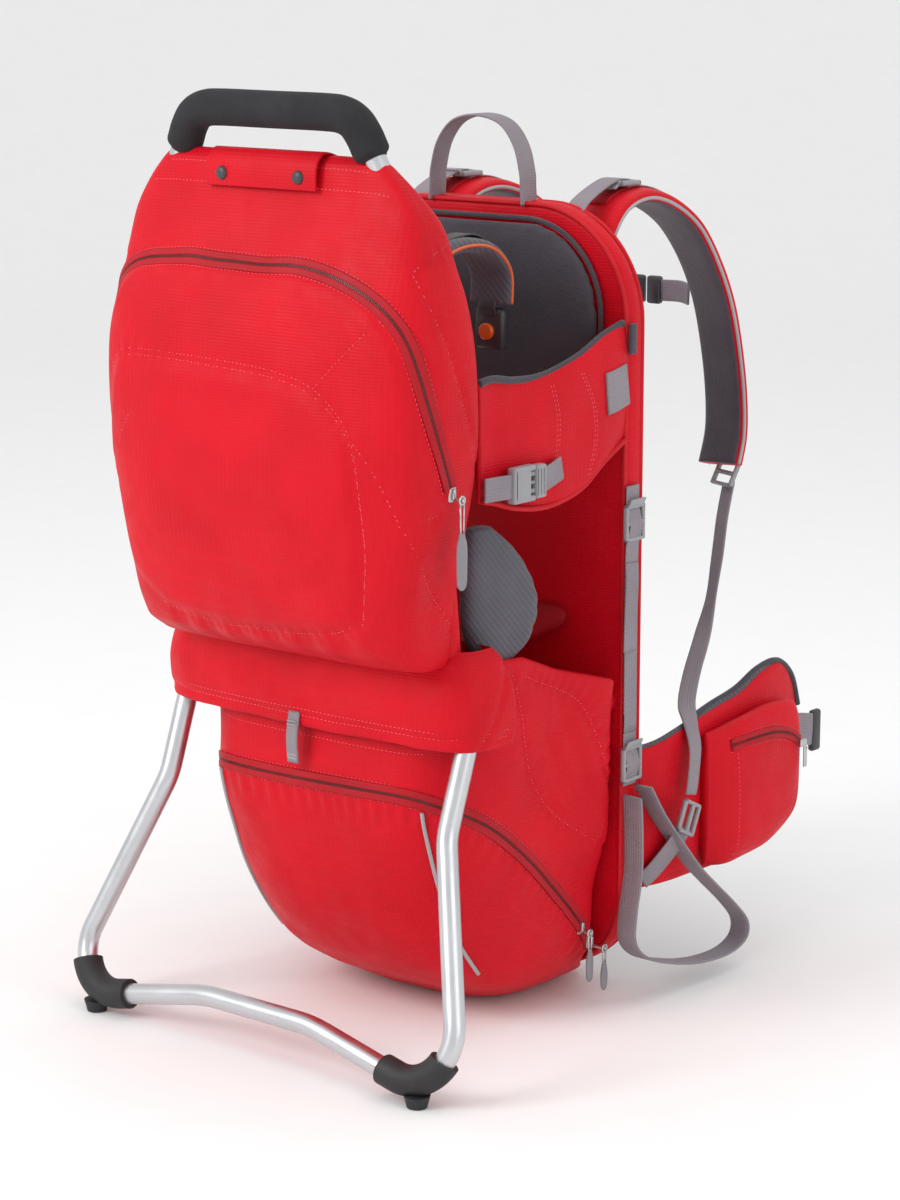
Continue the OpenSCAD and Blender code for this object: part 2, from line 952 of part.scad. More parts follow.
module flap_snaps() {
    color(foam_black)
        both_sides()
            aimed(snap_at, [0, -1, 0.1]) cylinder(d = snap_d, h = 2.4);
}

// Slider of a zip: a small body, and the pin its pull hangs on, outward along x
slider_pin_d = 3;
slider_pin_z = -4;

module slider(pin_l) {
    translate([2, 0, 0]) cube([3, 9, 13], center = true);
    translate([3, 0, slider_pin_z]) rotate([0, 90, 0]) cylinder(d = slider_pin_d, h = pin_l - 3);
}

// Pull tab hanging from its pivot at the origin, in the plane of x = 0
pull_t = 2.2;

module pull_tab(length, w) {
    rotate([90, 0, 90])
        difference() {
            linear_extrude(pull_t, center = true)
                hull() {
                    circle(d = 8, $fn = 24);
                    translate([0, -length + w / 2]) circle(d = w, $fn = 24);
                }
            cylinder(d = slider_pin_d + 0.12, h = 10, center = true);
        }
}

pocket_slider_at = [166, -224, 490];
pocket_pull_out = 12.5;
pocket_pull_l = 72;
pocket_pull_w = 12;

module pocket_slider() {
    color(zinc) translate(pocket_slider_at) slider(pocket_pull_out + 2);
}

module pocket_pull() {
    color(webbing_grey)
        translate(pocket_slider_at + [pocket_pull_out, 0, slider_pin_z])
            pull_tab(pocket_pull_l, pocket_pull_w);
}

bag_slider_lower_at = [137.2, 4, 56];
bag_zip_dir = unit([6.3, -44, 46]);
bag_slider_upper_at = bag_slider_lower_at + bag_zip_dir * 24;
bag_pull_lower_out = 18.5;
bag_pull_upper_out = 12.5;
bag_pull_lower_l = 38;
bag_pull_upper_l = 44;
bag_pull_w = 9;

module bag_slider_lower() {
    color(zinc) translate(bag_slider_lower_at) slider(bag_pull_lower_out + 2);
}

module bag_slider_upper() {
    color(zinc) translate(bag_slider_upper_at) slider(bag_pull_upper_out + 2);
}

module bag_pull_lower() {
    color(webbing_grey)
        translate(bag_slider_lower_at + [bag_pull_lower_out, 0, slider_pin_z])
            pull_tab(bag_pull_lower_l, bag_pull_w);
}

module bag_pull_upper() {
    color(webbing_grey)
        translate(bag_slider_upper_at + [bag_pull_upper_out, 0, slider_pin_z])
            pull_tab(bag_pull_upper_l, bag_pull_w);
}

// Webbing loop on the top edge of the back panel
grab_half_w = 50;
grab_y = 26;
grab_w = 22;
grab_route = [
    [grab_half_w, grab_y, panel_top + 11], [48, grab_y, 722], [40, grab_y, 745],
    [24, grab_y, 764], [0, grab_y, 770]
];

module grab_loop() {
    color(webbing_grey)
        band(concat([for (i = [0 : 3]) grab_route[i]], reversed([for (p = grab_route) flip_x(p)])),
            [0, 1, 0], grab_w, cord_t);
}

// ---------- assembly ----------

front_frame();
crossbars();
side_braces();
rear_frame();
handle_grip();
pivot_spacers();
pivot_pins();
back_panel();
head_pad();
back_pad();
lumbar_pad();
hip_roots();
base_panel();
rear_body();
upper_pocket();
skirt_band();
lower_bag();
side_panels();
seat();
side_wings();
leg_pads();
harness_pads();
harness_buckle();
harness_button();
side_buckle_sockets();
side_buckle_plug_left();
side_buckle_plug_right();
compression_straps();
compression_buckles();
loop_webbing_left();
loop_webbing_right();
hip_rings();
gear_loop();
lower_webbing_left();
lower_webbing_right();
stand_tube();
stand_feet();
shoulder_strap_left();
shoulder_strap_right();
strap_buckles_left();
strap_buckles_right();
sternum_strap_left();
sternum_strap_right();
hip_fin_left();
hip_fin_right();
hip_pocket_left();
hip_pocket_right();
belt_end_left();
belt_end_right();
hip_slider_left();
hip_slider_right();
snap_flap();
flap_snaps();
pocket_slider();
pocket_pull();
bag_slider_upper();
bag_pull_upper();
bag_slider_lower();
bag_pull_lower();
grab_loop();
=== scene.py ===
"""Looks of the child carrier backpack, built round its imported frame. Lengths are millimetres, lights metres."""

import math

import bmesh
import bpy
import numpy as np
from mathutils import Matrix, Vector, noise
from mathutils.bvhtree import BVHTree


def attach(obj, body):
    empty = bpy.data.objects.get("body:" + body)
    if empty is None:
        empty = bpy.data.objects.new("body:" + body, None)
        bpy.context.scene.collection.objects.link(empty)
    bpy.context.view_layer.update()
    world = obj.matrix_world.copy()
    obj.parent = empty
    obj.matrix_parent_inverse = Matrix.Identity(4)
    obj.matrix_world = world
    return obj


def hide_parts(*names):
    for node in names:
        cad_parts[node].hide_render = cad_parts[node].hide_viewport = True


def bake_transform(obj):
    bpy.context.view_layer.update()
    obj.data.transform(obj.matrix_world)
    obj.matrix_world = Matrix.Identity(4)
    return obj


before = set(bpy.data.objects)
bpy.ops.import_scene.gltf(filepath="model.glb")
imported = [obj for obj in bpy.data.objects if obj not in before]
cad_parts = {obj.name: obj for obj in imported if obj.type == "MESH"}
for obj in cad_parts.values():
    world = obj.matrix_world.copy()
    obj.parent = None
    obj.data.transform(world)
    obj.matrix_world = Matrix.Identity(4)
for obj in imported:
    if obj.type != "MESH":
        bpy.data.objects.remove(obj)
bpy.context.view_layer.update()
MM = 0.001
SIDES = ((-1, "left"), (1, "right"))


# ---------- small vector and mesh tools ----------


def arr(p):
    return np.array(p, float)


def unit(v):
    v = arr(v)
    return v / (np.linalg.norm(v, axis=-1, keepdims=True) + 1e-12)


def smooth(points, n):
    """Catmull-Rom rows through a table, with n steps in each span."""
    p = arr(points)
    out = []
    for i in range(len(p) - 1):
        a, b, c, d = p[max(i - 1, 0)], p[i], p[i + 1], p[min(i + 2, len(p) - 1)]
        for k in range(n + (i == len(p) - 2)):
            t = k / n
            bend, twist = 2 * a - 5 * b + 4 * c - d, 3 * b - a - 3 * c + d
            out.append(0.5 * (2 * b + (c - a) * t + bend * t**2 + twist * t**3))
    return arr(out)


def length_along(p):
    return np.r_[0, np.cumsum(np.linalg.norm(np.diff(p[:, :3], axis=0), axis=1))]


def even(points, count):
    """The same line with count evenly spaced rows."""
    p = arr(points)
    s = length_along(p)
    t = np.linspace(0, s[-1], count)
    return np.stack([np.interp(t, s, p[:, i]) for i in range(p.shape[1])], 1)


def spaced(points, step):
    p = arr(points)
    return even(p, max(3, int(round(length_along(p)[-1] / step)) + 1))


def mirror(p, side):
    p = arr(p).copy()
    p[..., 0] *= side
    return p


class Bits:
    """Vertices, faces and texture coordinates gathered for one mesh."""

    def __init__(self):
        self.v, self.f, self.uv = [], [], []

    def add(self, verts, faces, uv=None):
        base = len(self.v)
        verts = arr(verts)
        self.v += [tuple(v) for v in verts]
        self.f += [tuple(base + i for i in f) for f in faces]
        self.uv += [tuple(x) for x in (uv if uv is not None else np.zeros((len(verts), 2)))]
        return self

    def grid(self, p, wrap=False, caps=False, uv=None):
        """A (rows, columns, 3) grid of points; wrap closes each row, caps close the two ends."""
        nv, nu = p.shape[:2]
        faces = [
            (v * nu + u, v * nu + (u + 1) % nu, (v + 1) * nu + (u + 1) % nu, (v + 1) * nu + u)
            for v in range(nv - 1)
            for u in range(nu if wrap else nu - 1)
        ]
        if caps:
            faces += [tuple(range(nu))[::-1], tuple((nv - 1) * nu + u for u in range(nu))]
        return self.add(p.reshape(-1, 3), faces, uv)

    def join(self, other):
        return self.add(other.v, other.f, other.uv)


def solid(p):
    """A closed body from a grid of rings."""
    return Bits().grid(p, wrap=True, caps=True)


def add_to_scene(ob):
    bpy.context.scene.collection.objects.link(ob)
    return ob


def make(name, bits, mat, body=None, flat=False):
    me = bpy.data.meshes.new(name)
    me.from_pydata([tuple(x * MM for x in v) for v in bits.v], [], bits.f)
    bm = bmesh.new()
    bm.from_mesh(me)
    bmesh.ops.recalc_face_normals(bm, faces=bm.faces)
    bm.to_mesh(me)
    bm.free()
    layer = me.uv_layers.new(name="UVMap")
    index = np.zeros(len(me.loops), np.int32)
    me.loops.foreach_get("vertex_index", index)
    layer.data.foreach_set("uv", (arr(bits.uv)[index] * MM).astype(np.float32).ravel())
    me.polygons.foreach_set("use_smooth", [not flat] * len(me.polygons))
    ob = add_to_scene(bpy.data.objects.new(name, me))
    me.materials.append(mat)
    if body:
        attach(ob, body)
    return ob


def apply_modifier(ob, kind, **settings):
    mod = ob.modifiers.new(kind.lower(), kind)
    for key, value in settings.items():
        setattr(mod, key, value)
    bpy.context.view_layer.update()
    done = bpy.data.meshes.new_from_object(ob.evaluated_get(bpy.context.evaluated_depsgraph_get()))
    ob.modifiers.remove(mod)
    old = ob.data
    ob.data = done
    bpy.data.meshes.remove(old)


def ribbon(path, wide, w, t):
    """Flat webbing along a path; wide is its width direction, one for all rows or one for each."""
    p = arr(path)
    wide = np.broadcast_to(arr(wide), p.shape)
    d = unit(np.gradient(p, axis=0))
    across = unit(wide - d * (wide * d).sum(1, keepdims=True))
    out = np.cross(d, across)
    e = min(t, w) * 0.45
    half = [(w / 2, -t / 4), (w / 2, t / 4), (w / 2 - e, t / 2), (w / 5, t / 2), (-w / 5, t / 2), (-w / 2 + e, t / 2)]
    section = half + [(-a, -b) for a, b in half]
    pts = np.stack([p + across * a + out * b for a, b in section], 1)
    s = length_along(p)
    uv = [(si, a) for si in s for a, b in section]
    return Bits().grid(pts, wrap=True, caps=True, uv=uv)


def tube(path, r, n=10, closed=False):
    p = arr(path)
    d = unit(np.gradient(p, axis=0)) if not closed else unit(np.roll(p, -1, 0) - np.roll(p, 1, 0))
    side = unit(np.cross(d[0], [0.3, 0.5, 0.81]))
    sides = []
    for k in range(len(p)):
        side = unit(side - d[k] * (side @ d[k]))
        sides.append(side)
    sides = arr(sides)
    up = np.cross(d, sides)
    r = np.broadcast_to(arr(r), (len(p),))
    a = np.linspace(0, 2 * np.pi, n, endpoint=False)
    spokes = np.cos(a)[None, :, None] * sides[:, None] + np.sin(a)[None, :, None] * up[:, None]
    pts = p[:, None] + r[:, None, None] * spokes
    if closed:
        return Bits().grid(np.concatenate([pts, pts[:1]]), wrap=True)
    return solid(pts)


TEMPLATES = {}


def block(bits, at, size, axes=None, r=1.0):
    """A rounded box added to bits; axes are its three directions."""
    key = (tuple(size), r)
    if key not in TEMPLATES:
        bm = bmesh.new()
        bmesh.ops.create_cube(bm, size=1)
        for v in bm.verts:
            v.co = Vector([v.co[i] * size[i] for i in range(3)])
        offset = min(r, min(size) * 0.45)
        bmesh.ops.bevel(bm, geom=bm.edges[:], offset=offset, segments=2, affect="EDGES", profile=0.5)
        bm.verts.index_update()
        TEMPLATES[key] = (arr([v.co[:] for v in bm.verts]), [[x.index for x in f.verts] for f in bm.faces])
        bm.free()
    verts, faces = TEMPLATES[key]
    m = arr(axes) if axes is not None else np.eye(3)
    return bits.add(verts @ m + arr(at), faces)


def normals_of(p, centre):
    """Normals of a grid of closed rings, pointing away from centre."""
    along_row = np.roll(p, -1, 1) - np.roll(p, 1, 1)
    n = unit(np.cross(along_row, np.gradient(p, axis=0)))
    return n if np.mean(((p - arr(centre)) * n).sum(-1)) > 0 else -n


def distance_to(p, line):
    """Distance from each point to a polyline, and how far along it the nearest place is."""
    q = p.reshape(-1, 3)
    line = spaced(line, 6.0)
    best, where = np.full(len(q), 1e9), np.zeros(len(q))
    s = length_along(line)
    for i in range(len(line) - 1):
        a, ab = line[i], line[i + 1] - line[i]
        t = np.clip(((q - a) @ ab) / (ab @ ab + 1e-12), 0, 1)
        d = np.linalg.norm(q - a - t[:, None] * ab, axis=1)
        closer = d < best
        best[closer], where[closer] = d[closer], (s[i] + t * (s[i + 1] - s[i]))[closer]
    return best.reshape(p.shape[:-1]), where.reshape(p.shape[:-1])


def rough(p, scale, seed):
    """Smooth noise from -1 to 1 at each point; scale is the size of its waves along x, y and z."""
    q = p.reshape(-1, 3) / arr(scale) + seed * 17.3
    return arr([noise.noise(Vector(x)) for x in q]).reshape(p.shape[:-1])


def bvh_of(bits):
    return BVHTree.FromPolygons([tuple(v) for v in bits.v], [tuple(f) for f in bits.f])


def lay(bvh, points, lift=0.0, centre=None, relax=6):
    """The nearest places on a surface to each point, evened out and lifted off it, with the normals there."""
    out, normals = [], []
    for p in arr(points):
        at, n, _, _ = bvh.find_nearest(Vector(p))
        n = arr(n)
        if centre is not None and (arr(at) - arr(centre)) @ n < 0:
            n = -n
        out.append(arr(at))
        normals.append(n)
    out, normals = arr(out), arr(normals)
    for _ in range(relax):
        out[1:-1] = (out[:-2] + out[1:-1] * 2 + out[2:]) / 4
        normals[1:-1] = unit(normals[:-2] + normals[1:-1] * 2 + normals[2:])
    return out + normals * lift, normals


def seam_on(surface, line, centre, step=2.5):
    """A given line, smoothed and laid on a surface."""
    return lay(surface, spaced(smooth(line, 6), step), 0.0, centre)[0]


def inside(p, outline):
    """How far each point is inside an outline, both seen along y; negative outside."""
    q = p.reshape(-1, 3)[:, [0, 2]]
    poly = arr(outline)[:, [0, 2]]
    hit, near = np.zeros(len(q), bool), np.full(len(q), 1e9)
    for a, b in zip(poly, np.roll(poly, -1, 0)):
        crosses = (a[1] > q[:, 1]) != (b[1] > q[:, 1])
        x = a[0] + (q[:, 1] - a[1]) / (b[1] - a[1] + 1e-9) * (b[0] - a[0])
        hit ^= crosses & (q[:, 0] < x)
        t = np.clip(((q - a) @ (b - a)) / ((b - a) @ (b - a) + 1e-9), 0, 1)
        near = np.minimum(near, np.linalg.norm(q - a - t[:, None] * (b - a), axis=1))
    return np.where(hit, near, -near).reshape(p.shape[:-1])


def step_up(d, width):
    t = np.clip(d / width, 0, 1)
    return t * t * (3 - 2 * t)


def groove(p, n, line, depth, width):
    """Pulls a grid in along a seam."""
    d = distance_to(p, line)[0]
    return p - n * (depth * np.exp(-((d / width) ** 2)))[..., None]


def gathers(p, n, line, height, width, pitch, seed=1):
    """Small uneven folds across a seam."""
    d, s = distance_to(p, line)
    wave = np.sin(s * 2 * math.pi / pitch + 2.5 * np.sin(s / (pitch * 2.7) + seed))
    return p + n * (height * wave * np.exp(-((d / width) ** 2)))[..., None]


def stitches(bits, bvh, line, centre, pitch=4.2, size=(2.4, 0.55, 0.5)):
    """A row of thread stitches laid on a surface: small eight-cornered grains."""
    q, n = lay(bvh, spaced(line, pitch), 0.1, centre)
    d = unit(np.gradient(q, axis=0))
    across = unit(np.cross(n, d))
    a, b, c = arr(size) / 2
    ends = [(x, y, z) for x in (-a / 2, a / 2) for y, z in ((b, 0), (0, c), (-b, 0))]
    grain = [(-a, 0, 0), *ends, (a, 0, 0)]
    cones = [(0, 1, 2), (0, 2, 3), (0, 3, 1), (7, 5, 4), (7, 6, 5), (7, 4, 6)]
    faces = cones[:3] + [(1, 4, 5, 2), (2, 5, 6, 3), (3, 6, 4, 1)] + cones[3:]
    for k in range(len(q)):
        bits.add([q[k] + d[k] * x + across[k] * y + n[k] * z for x, y, z in grain], faces)


# ---------- materials ----------

WAVE_SCALE = 0.314  # a wave texture at this scale has one band in each unit


def material(
    name, colour, other, rough_at, metallic=0.0, pattern=None, sheen=0.0, bump=0.3, grain=900.0, coat=0.0, specular=0.5
):
    """A surface with two mixed tones, its own weave or grain, and roughness that varies a little."""
    mat = bpy.data.materials.new(name)
    mat.use_nodes = True
    tree = mat.node_tree
    node, link = tree.nodes.new, tree.links.new
    bsdf = tree.nodes["Principled BSDF"]
    for key, value in (
        ("Metallic", metallic), ("Sheen Weight", sheen), ("Sheen Roughness", 0.45), ("Specular IOR Level", specular),
        ("Coat Weight", coat),
    ):
        bsdf.inputs[key].default_value = value
    place = node("ShaderNodeTexCoord")
    where = place.outputs["UV" if pattern == "webbing" else "Object"]

    def wave(direction, period):
        w = node("ShaderNodeTexWave")
        w.wave_type, w.bands_direction, w.wave_profile = "BANDS", direction, "SIN"
        w.inputs["Scale"].default_value = WAVE_SCALE / (period * MM)
        w.inputs["Distortion"].default_value = 0.0
        link(where, w.inputs["Vector"])
        return w.outputs["Fac"]

    def noise_at(scale, detail=2.0):
        n = node("ShaderNodeTexNoise")
        n.inputs["Scale"].default_value = scale
        n.inputs["Detail"].default_value = detail
        link(place.outputs["Object"], n.inputs["Vector"])
        return n.outputs["Fac"]

    def maths(kind, a, b):
        m = node("ShaderNodeMath")
        m.operation = kind
        for socket, value in ((m.inputs[0], a), (m.inputs[1], b)):
            if isinstance(value, (int, float)):
                socket.default_value = value
            else:
                link(value, socket)
        return m.outputs[0]

    def scaled(value, factor):
        return maths("MULTIPLY", value, factor)

    def ranged(value, low, high, to_low, to_high):
        r = node("ShaderNodeMapRange")
        for key, x in (("From Min", low), ("From Max", high), ("To Min", to_low), ("To Max", to_high)):
            r.inputs[key].default_value = x
        link(value, r.inputs["Value"])
        return r.outputs["Result"]

    if pattern == "ripstop":
        lines = maths("MAXIMUM", wave("X", 5.0), wave("Y", 5.0))
        height = maths("ADD", scaled(wave("Z", 2.6), 0.6), scaled(maths("POWER", lines, 6.0), 0.5))
        height = maths("ADD", height, scaled(noise_at(600.0), 0.4))
    elif pattern == "webbing":
        height = maths("ADD", scaled(wave("Y", 2.6), 0.6), scaled(wave("X", 2.2), 0.4))
    elif pattern == "ribs":
        height = maths("ADD", wave("DIAGONAL", 3.4), scaled(noise_at(500.0), 0.7))
    elif pattern == "mesh":
        v = node("ShaderNodeTexVoronoi")
        v.inputs["Scale"].default_value = 330.0
        link(where, v.inputs["Vector"])
        height = maths("ADD", v.outputs["Distance"], scaled(noise_at(700.0), 0.4))
    elif pattern == "brushed":
        height = scaled(maths("ADD", noise_at(1200.0), noise_at(260.0)), 0.5)
    else:
        height = noise_at(grain, 3.0)
    b = node("ShaderNodeBump")
    b.inputs["Strength"].default_value = bump
    b.inputs["Distance"].default_value = 0.0006
    link(height, b.inputs["Height"])
    link(b.outputs["Normal"], bsdf.inputs["Normal"])
    tone = node("ShaderNodeMix")
    tone.data_type = "RGBA"
    tone.inputs[6].default_value = (*colour, 1)
    tone.inputs[7].default_value = (*other, 1)
    blotch = ranged(noise_at(14.0, 4.0), 0.3, 0.7, 0.0, 0.55)
    fine = ranged(height, 0.0, 1.4, 0.35, 0.0) if pattern else ranged(noise_at(grain), 0.3, 0.7, 0.25, 0.0)
    link(maths("ADD", blotch, fine), tone.inputs[0])
    link(tone.outputs[2], bsdf.inputs["Base Color"])
    link(ranged(noise_at(40.0, 3.0), 0.3, 0.7, rough_at - 0.06, rough_at + 0.08), bsdf.inputs["Roughness"])
    return mat


RED = material(
    "red_ripstop", (0.66, 0.002, 0.014), (0.50, 0.001, 0.009), 0.52, pattern="ripstop", sheen=0.01, specular=0.18
)
# The red ripstop darkened to about half: painted shade of the cockpit interior, used for the seat sling.
RED_PAINTED_SHADE = material("red_ripstop_painted_shade", (0.34, 0.003, 0.008), (0.24, 0.002, 0.006), 0.7, pattern="ripstop", specular=0.2)
RED_TAPE = material("red_tape", (0.48, 0.003, 0.012), (0.32, 0.002, 0.007), 0.6, pattern="webbing", specular=0.3)
RED_EDGE = material(
    "red_binding", (0.66, 0.004, 0.016), (0.48, 0.003, 0.010), 0.6, pattern="webbing", bump=0.5, specular=0.3
)
TEETH = material("zip_coil", (0.16, 0.003, 0.006), (0.09, 0.002, 0.004), 0.4)
THREAD = material("pink_thread", (0.85, 0.16, 0.20), (0.75, 0.08, 0.12), 0.6)
CHARCOAL = material(
    "charcoal_mesh", (0.060, 0.055, 0.070), (0.035, 0.032, 0.042), 0.85, pattern="mesh", sheen=0.25, bump=0.5
)
RIBBED = material(
    "charcoal_ribs", (0.105, 0.100, 0.125), (0.060, 0.057, 0.072), 0.85, pattern="ribs", sheen=0.2, bump=0.6
)
MAUVE = material(
    "mauve_lining", (0.085, 0.070, 0.090), (0.055, 0.045, 0.060), 0.85, pattern="mesh", sheen=0.2, bump=0.5
)
WEBBING = material("grey_webbing", (0.30, 0.265, 0.295), (0.20, 0.175, 0.195), 0.65, pattern="webbing", bump=0.6)
REFLECTIVE = material("reflective_piping", (0.42, 0.41, 0.42), (0.30, 0.29, 0.30), 0.35, grain=1500.0)
FOAM = material("black_foam", (0.016, 0.015, 0.018), (0.008, 0.0075, 0.009), 0.85, bump=0.6, grain=1100.0)
RUBBER = material("black_rubber", (0.022, 0.021, 0.024), (0.012, 0.012, 0.013), 0.6, grain=700.0)
ALUMINIUM = material(
    "satin_aluminium", (0.66, 0.67, 0.69), (0.56, 0.57, 0.59), 0.33, metallic=1.0, pattern="brushed", bump=0.08
)
ZINC = material("cast_zinc", (0.60, 0.60, 0.61), (0.42, 0.42, 0.43), 0.25, metallic=1.0, bump=0.15, grain=600.0)
GREY_PLASTIC = material("grey_plastic", (0.34, 0.34, 0.36), (0.26, 0.26, 0.28), 0.45, bump=0.15, grain=1500.0)
DARK_PLASTIC = material("dark_plastic", (0.05, 0.05, 0.056), (0.032, 0.032, 0.036), 0.4, bump=0.15, grain=1500.0)
ORANGE = material("orange_plastic", (0.80, 0.13, 0.02), (0.60, 0.08, 0.01), 0.35, bump=0.1, coat=0.3)
PULL = material("grey_pull", (0.28, 0.27, 0.29), (0.19, 0.18, 0.20), 0.6, grain=1200.0)
FLOOR = material("pale_floor", (0.93, 0.93, 0.93), (0.91, 0.91, 0.91), 0.8, bump=0.02, grain=30.0)

# Frame nodes that keep their CAD shape.
for node_name, mat in {
    "front_frame": ALUMINIUM, "crossbars": ALUMINIUM, "side_braces": ALUMINIUM, "rear_frame": ALUMINIUM,
    "stand_tube": ALUMINIUM, "pivot_spacers": DARK_PLASTIC, "pivot_pins": ZINC, "stand_feet": RUBBER,
}.items():
    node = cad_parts[node_name]
    node.data.materials.clear()
    node.data.materials.append(mat)

# ---------- camera, light and floor ----------

CAMERA_AT = (1681.8, -2095.5, 926.9)
CAMERA_LOOKS_AT = (-15.13, 0.0, 341.85)
FLOOR_RADIUS, FLOOR_RISE, FLOOR_GAP = 4500, 2500, 0.5
camera = add_to_scene(bpy.data.objects.new("camera", bpy.data.cameras.new("camera")))
camera.data.lens = 93.0
camera.data.sensor_width = 36.0
camera.location = arr(CAMERA_AT) * MM
aim = Vector(arr(CAMERA_LOOKS_AT) * MM) - camera.location
camera.rotation_euler = aim.to_track_quat("-Z", "Y").to_euler()
bpy.context.scene.camera = camera

world = bpy.data.worlds.new("studio")
world.use_nodes = True
background = world.node_tree.nodes["Background"]
background.inputs["Color"].default_value = (1, 1, 1, 1)
background.inputs["Strength"].default_value = 0.85
bpy.context.scene.world = world
bpy.context.scene.view_settings.view_transform = "Standard"


def softbox(name, at, size, watts, target=(0, 0, 0.4)):
    """A square area light, in metres and watts."""
    light = add_to_scene(bpy.data.objects.new(name, bpy.data.lights.new(name, "AREA")))
    light.data.shape = "RECTANGLE"
    light.data.size = light.data.size_y = size
    light.data.energy = watts
    light.location = at
    light.rotation_euler = (Vector(target) - Vector(at)).to_track_quat("-Z", "Y").to_euler()


softbox("key", (-1.0, -2.5, 1.9), 1.3, 40)
softbox("fill", (2.6, -0.4, 1.3), 1.6, 10)
softbox("top", (0.3, 0.4, 2.8), 1.8, 10)

turn = np.linspace(0, 2 * np.pi, 96, endpoint=False)
bowl = [(r, 0) for r in (1, 1500, 3000, FLOOR_RADIUS)]
for b in np.linspace(0.1, 1.5, 14):
    bowl.append((FLOOR_RADIUS + FLOOR_RISE * math.sin(b), FLOOR_RISE - FLOOR_RISE * math.cos(b)))
bowl = arr([[(r * math.cos(t), r * math.sin(t), z) for t in turn] for r, z in bowl])
floor = make("floor", Bits().grid(bowl, wrap=True), FLOOR)
floor.location.z = -FLOOR_GAP * MM

# ---------- cords: the loose loops and the lower webbing ----------

LOOP = [
    (174, 34, 196), (176, 52, 168), (181, 74, 138), (186, 94, 112), (188, 118, 90), (189, 146, 66),
    (188, 168, 44), (185, 170, 26), (184, 146, 18), (182, 104, 20), (180, 62, 30), (178, 26, 44),
    (176, 10, 62), (174, 14, 88),
    (173, 22, 120), (173, 22, 158), (174, 18, 190),
]
LOWER = [
    (93, 279, 421), (98, 262, 392), (104, 246, 358), (111, 226, 322), (119, 200, 289), (130, 170, 266),
    (148, 136, 248), (168, 112, 238), (182, 101, 218), (185, 94, 190), (185, 91, 178),
]
LOWER_WIDE = [
    (0.95, -0.33, 0), (0.95, -0.33, 0), (0.95, -0.33, 0), (0.9, -0.4, 0.1), (0.8, 0.5, 0.3), (0.5, 0.8, 0.3),
    (0.3, 0.9, 0.2), (0.1, 1, 0), (0, 1, 0.1), (0, 1, 0.1), (0, 1, 0.1),
]
for side, word in SIDES:
    path = mirror(smooth(LOOP, 5), side)
    loop = make(f"loop_band_{word}", ribbon(path, (1, 0, 0), 20, 2.2), WEBBING, "frame")
    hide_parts(f"loop_webbing_{word}")
    path = mirror(smooth(LOWER, 4), side)
    web = make(f"lower_band_{word}", ribbon(path, mirror(smooth(LOWER_WIDE, 4), side), 16, 2.2), WEBBING)
    low, high = (mirror(at, side) * MM for at in ((150, 135, 240), LOWER[0]))
    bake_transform(web)
    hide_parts(f"lower_webbing_{word}")


# ---------- rings and shells ----------


def ring(z, w, y_front, y_back, power, y_mid, n, front_power=6.0):
    """Closed ring at height z, from the middle of the back round by +x, evenly spaced."""
    a = np.linspace(0, 2 * np.pi, 1441)
    s, c = np.sin(a), np.cos(a)
    back = c > 0
    e = np.where(back, 2 / power, 2 / front_power)
    x = w * np.sign(s) * np.abs(s) ** e
    y = y_mid - np.where(back, y_mid - y_back, y_front - y_mid) * np.sign(c) * np.abs(c) ** e
    return even(np.stack([x, y, np.full_like(x, z)], 1), n + 1)[:-1]


def shell(rows, steps, n, front_power=6.0):
    """Rings from a table of [z, half width, y front, y back, power, y middle]."""
    return arr([ring(*row, n, front_power) for row in smooth(rows, steps)])


def zipper(name, bvh, line, centre, body, tape=13.0, lift=0.6, pitch=1.8):
    """Zip laid on a surface: two tapes, a sunk coil between them and rows of thread."""
    q, n = lay(bvh, spaced(smooth(line, 6), 3.0), lift, centre, 40)
    d = unit(np.gradient(q, axis=0))
    across = unit(np.cross(n, d))
    tapes = Bits()
    for s in (-1, 1):
        tapes.join(ribbon(q + across * s * (tape / 4 + 0.9) + n * 0.5, across, tape / 2 - 0.6, 1.4))
    make(f"{name}_tapes", tapes, RED_TAPE, body)
    coil = ribbon(q - n * 0.1, across, 5.0, 0.8)
    rows = spaced(np.concatenate([q, n], 1), pitch)
    ups = unit(rows[:, 3:])
    places = rows[:, :3] + ups * 0.35
    ahead = unit(np.gradient(places, axis=0))
    rights = unit(np.cross(ups, ahead))
    tooth = arr([(a, b, c) for a in (-1.5, 1.5) for b in (-0.5, 0.5) for c in (-0.4, 0.5)])
    tooth_faces = [(0, 1, 3, 2), (4, 6, 7, 5), (0, 4, 5, 1), (2, 3, 7, 6), (0, 2, 6, 4), (1, 5, 7, 3)]
    for i, (at, x, t, up) in enumerate(zip(places, rights, ahead, ups)):
        pts = at + x * (0.7 if i % 2 else -0.7) + tooth[:, :1] * x + tooth[:, 1:2] * t + tooth[:, 2:] * up
        coil.add(pts, tooth_faces)
    make(f"{name}_coil", coil, TEETH, body, flat=True)
    thread = Bits()
    for s in (-1, 1):
        stitches(thread, bvh, q + across * s * (tape / 2 + 1.6), centre)
    make(f"{name}_thread", thread, THREAD, body, flat=True)


def piping(name, bvh, line, centre, body, r):
    q = lay(bvh, spaced(smooth(line, 6), 4.0), r * 0.55, centre, 20)[0]
    make(name, tube(q, r, 8), REFLECTIVE, body)


# ---------- rear body and upper pocket ----------

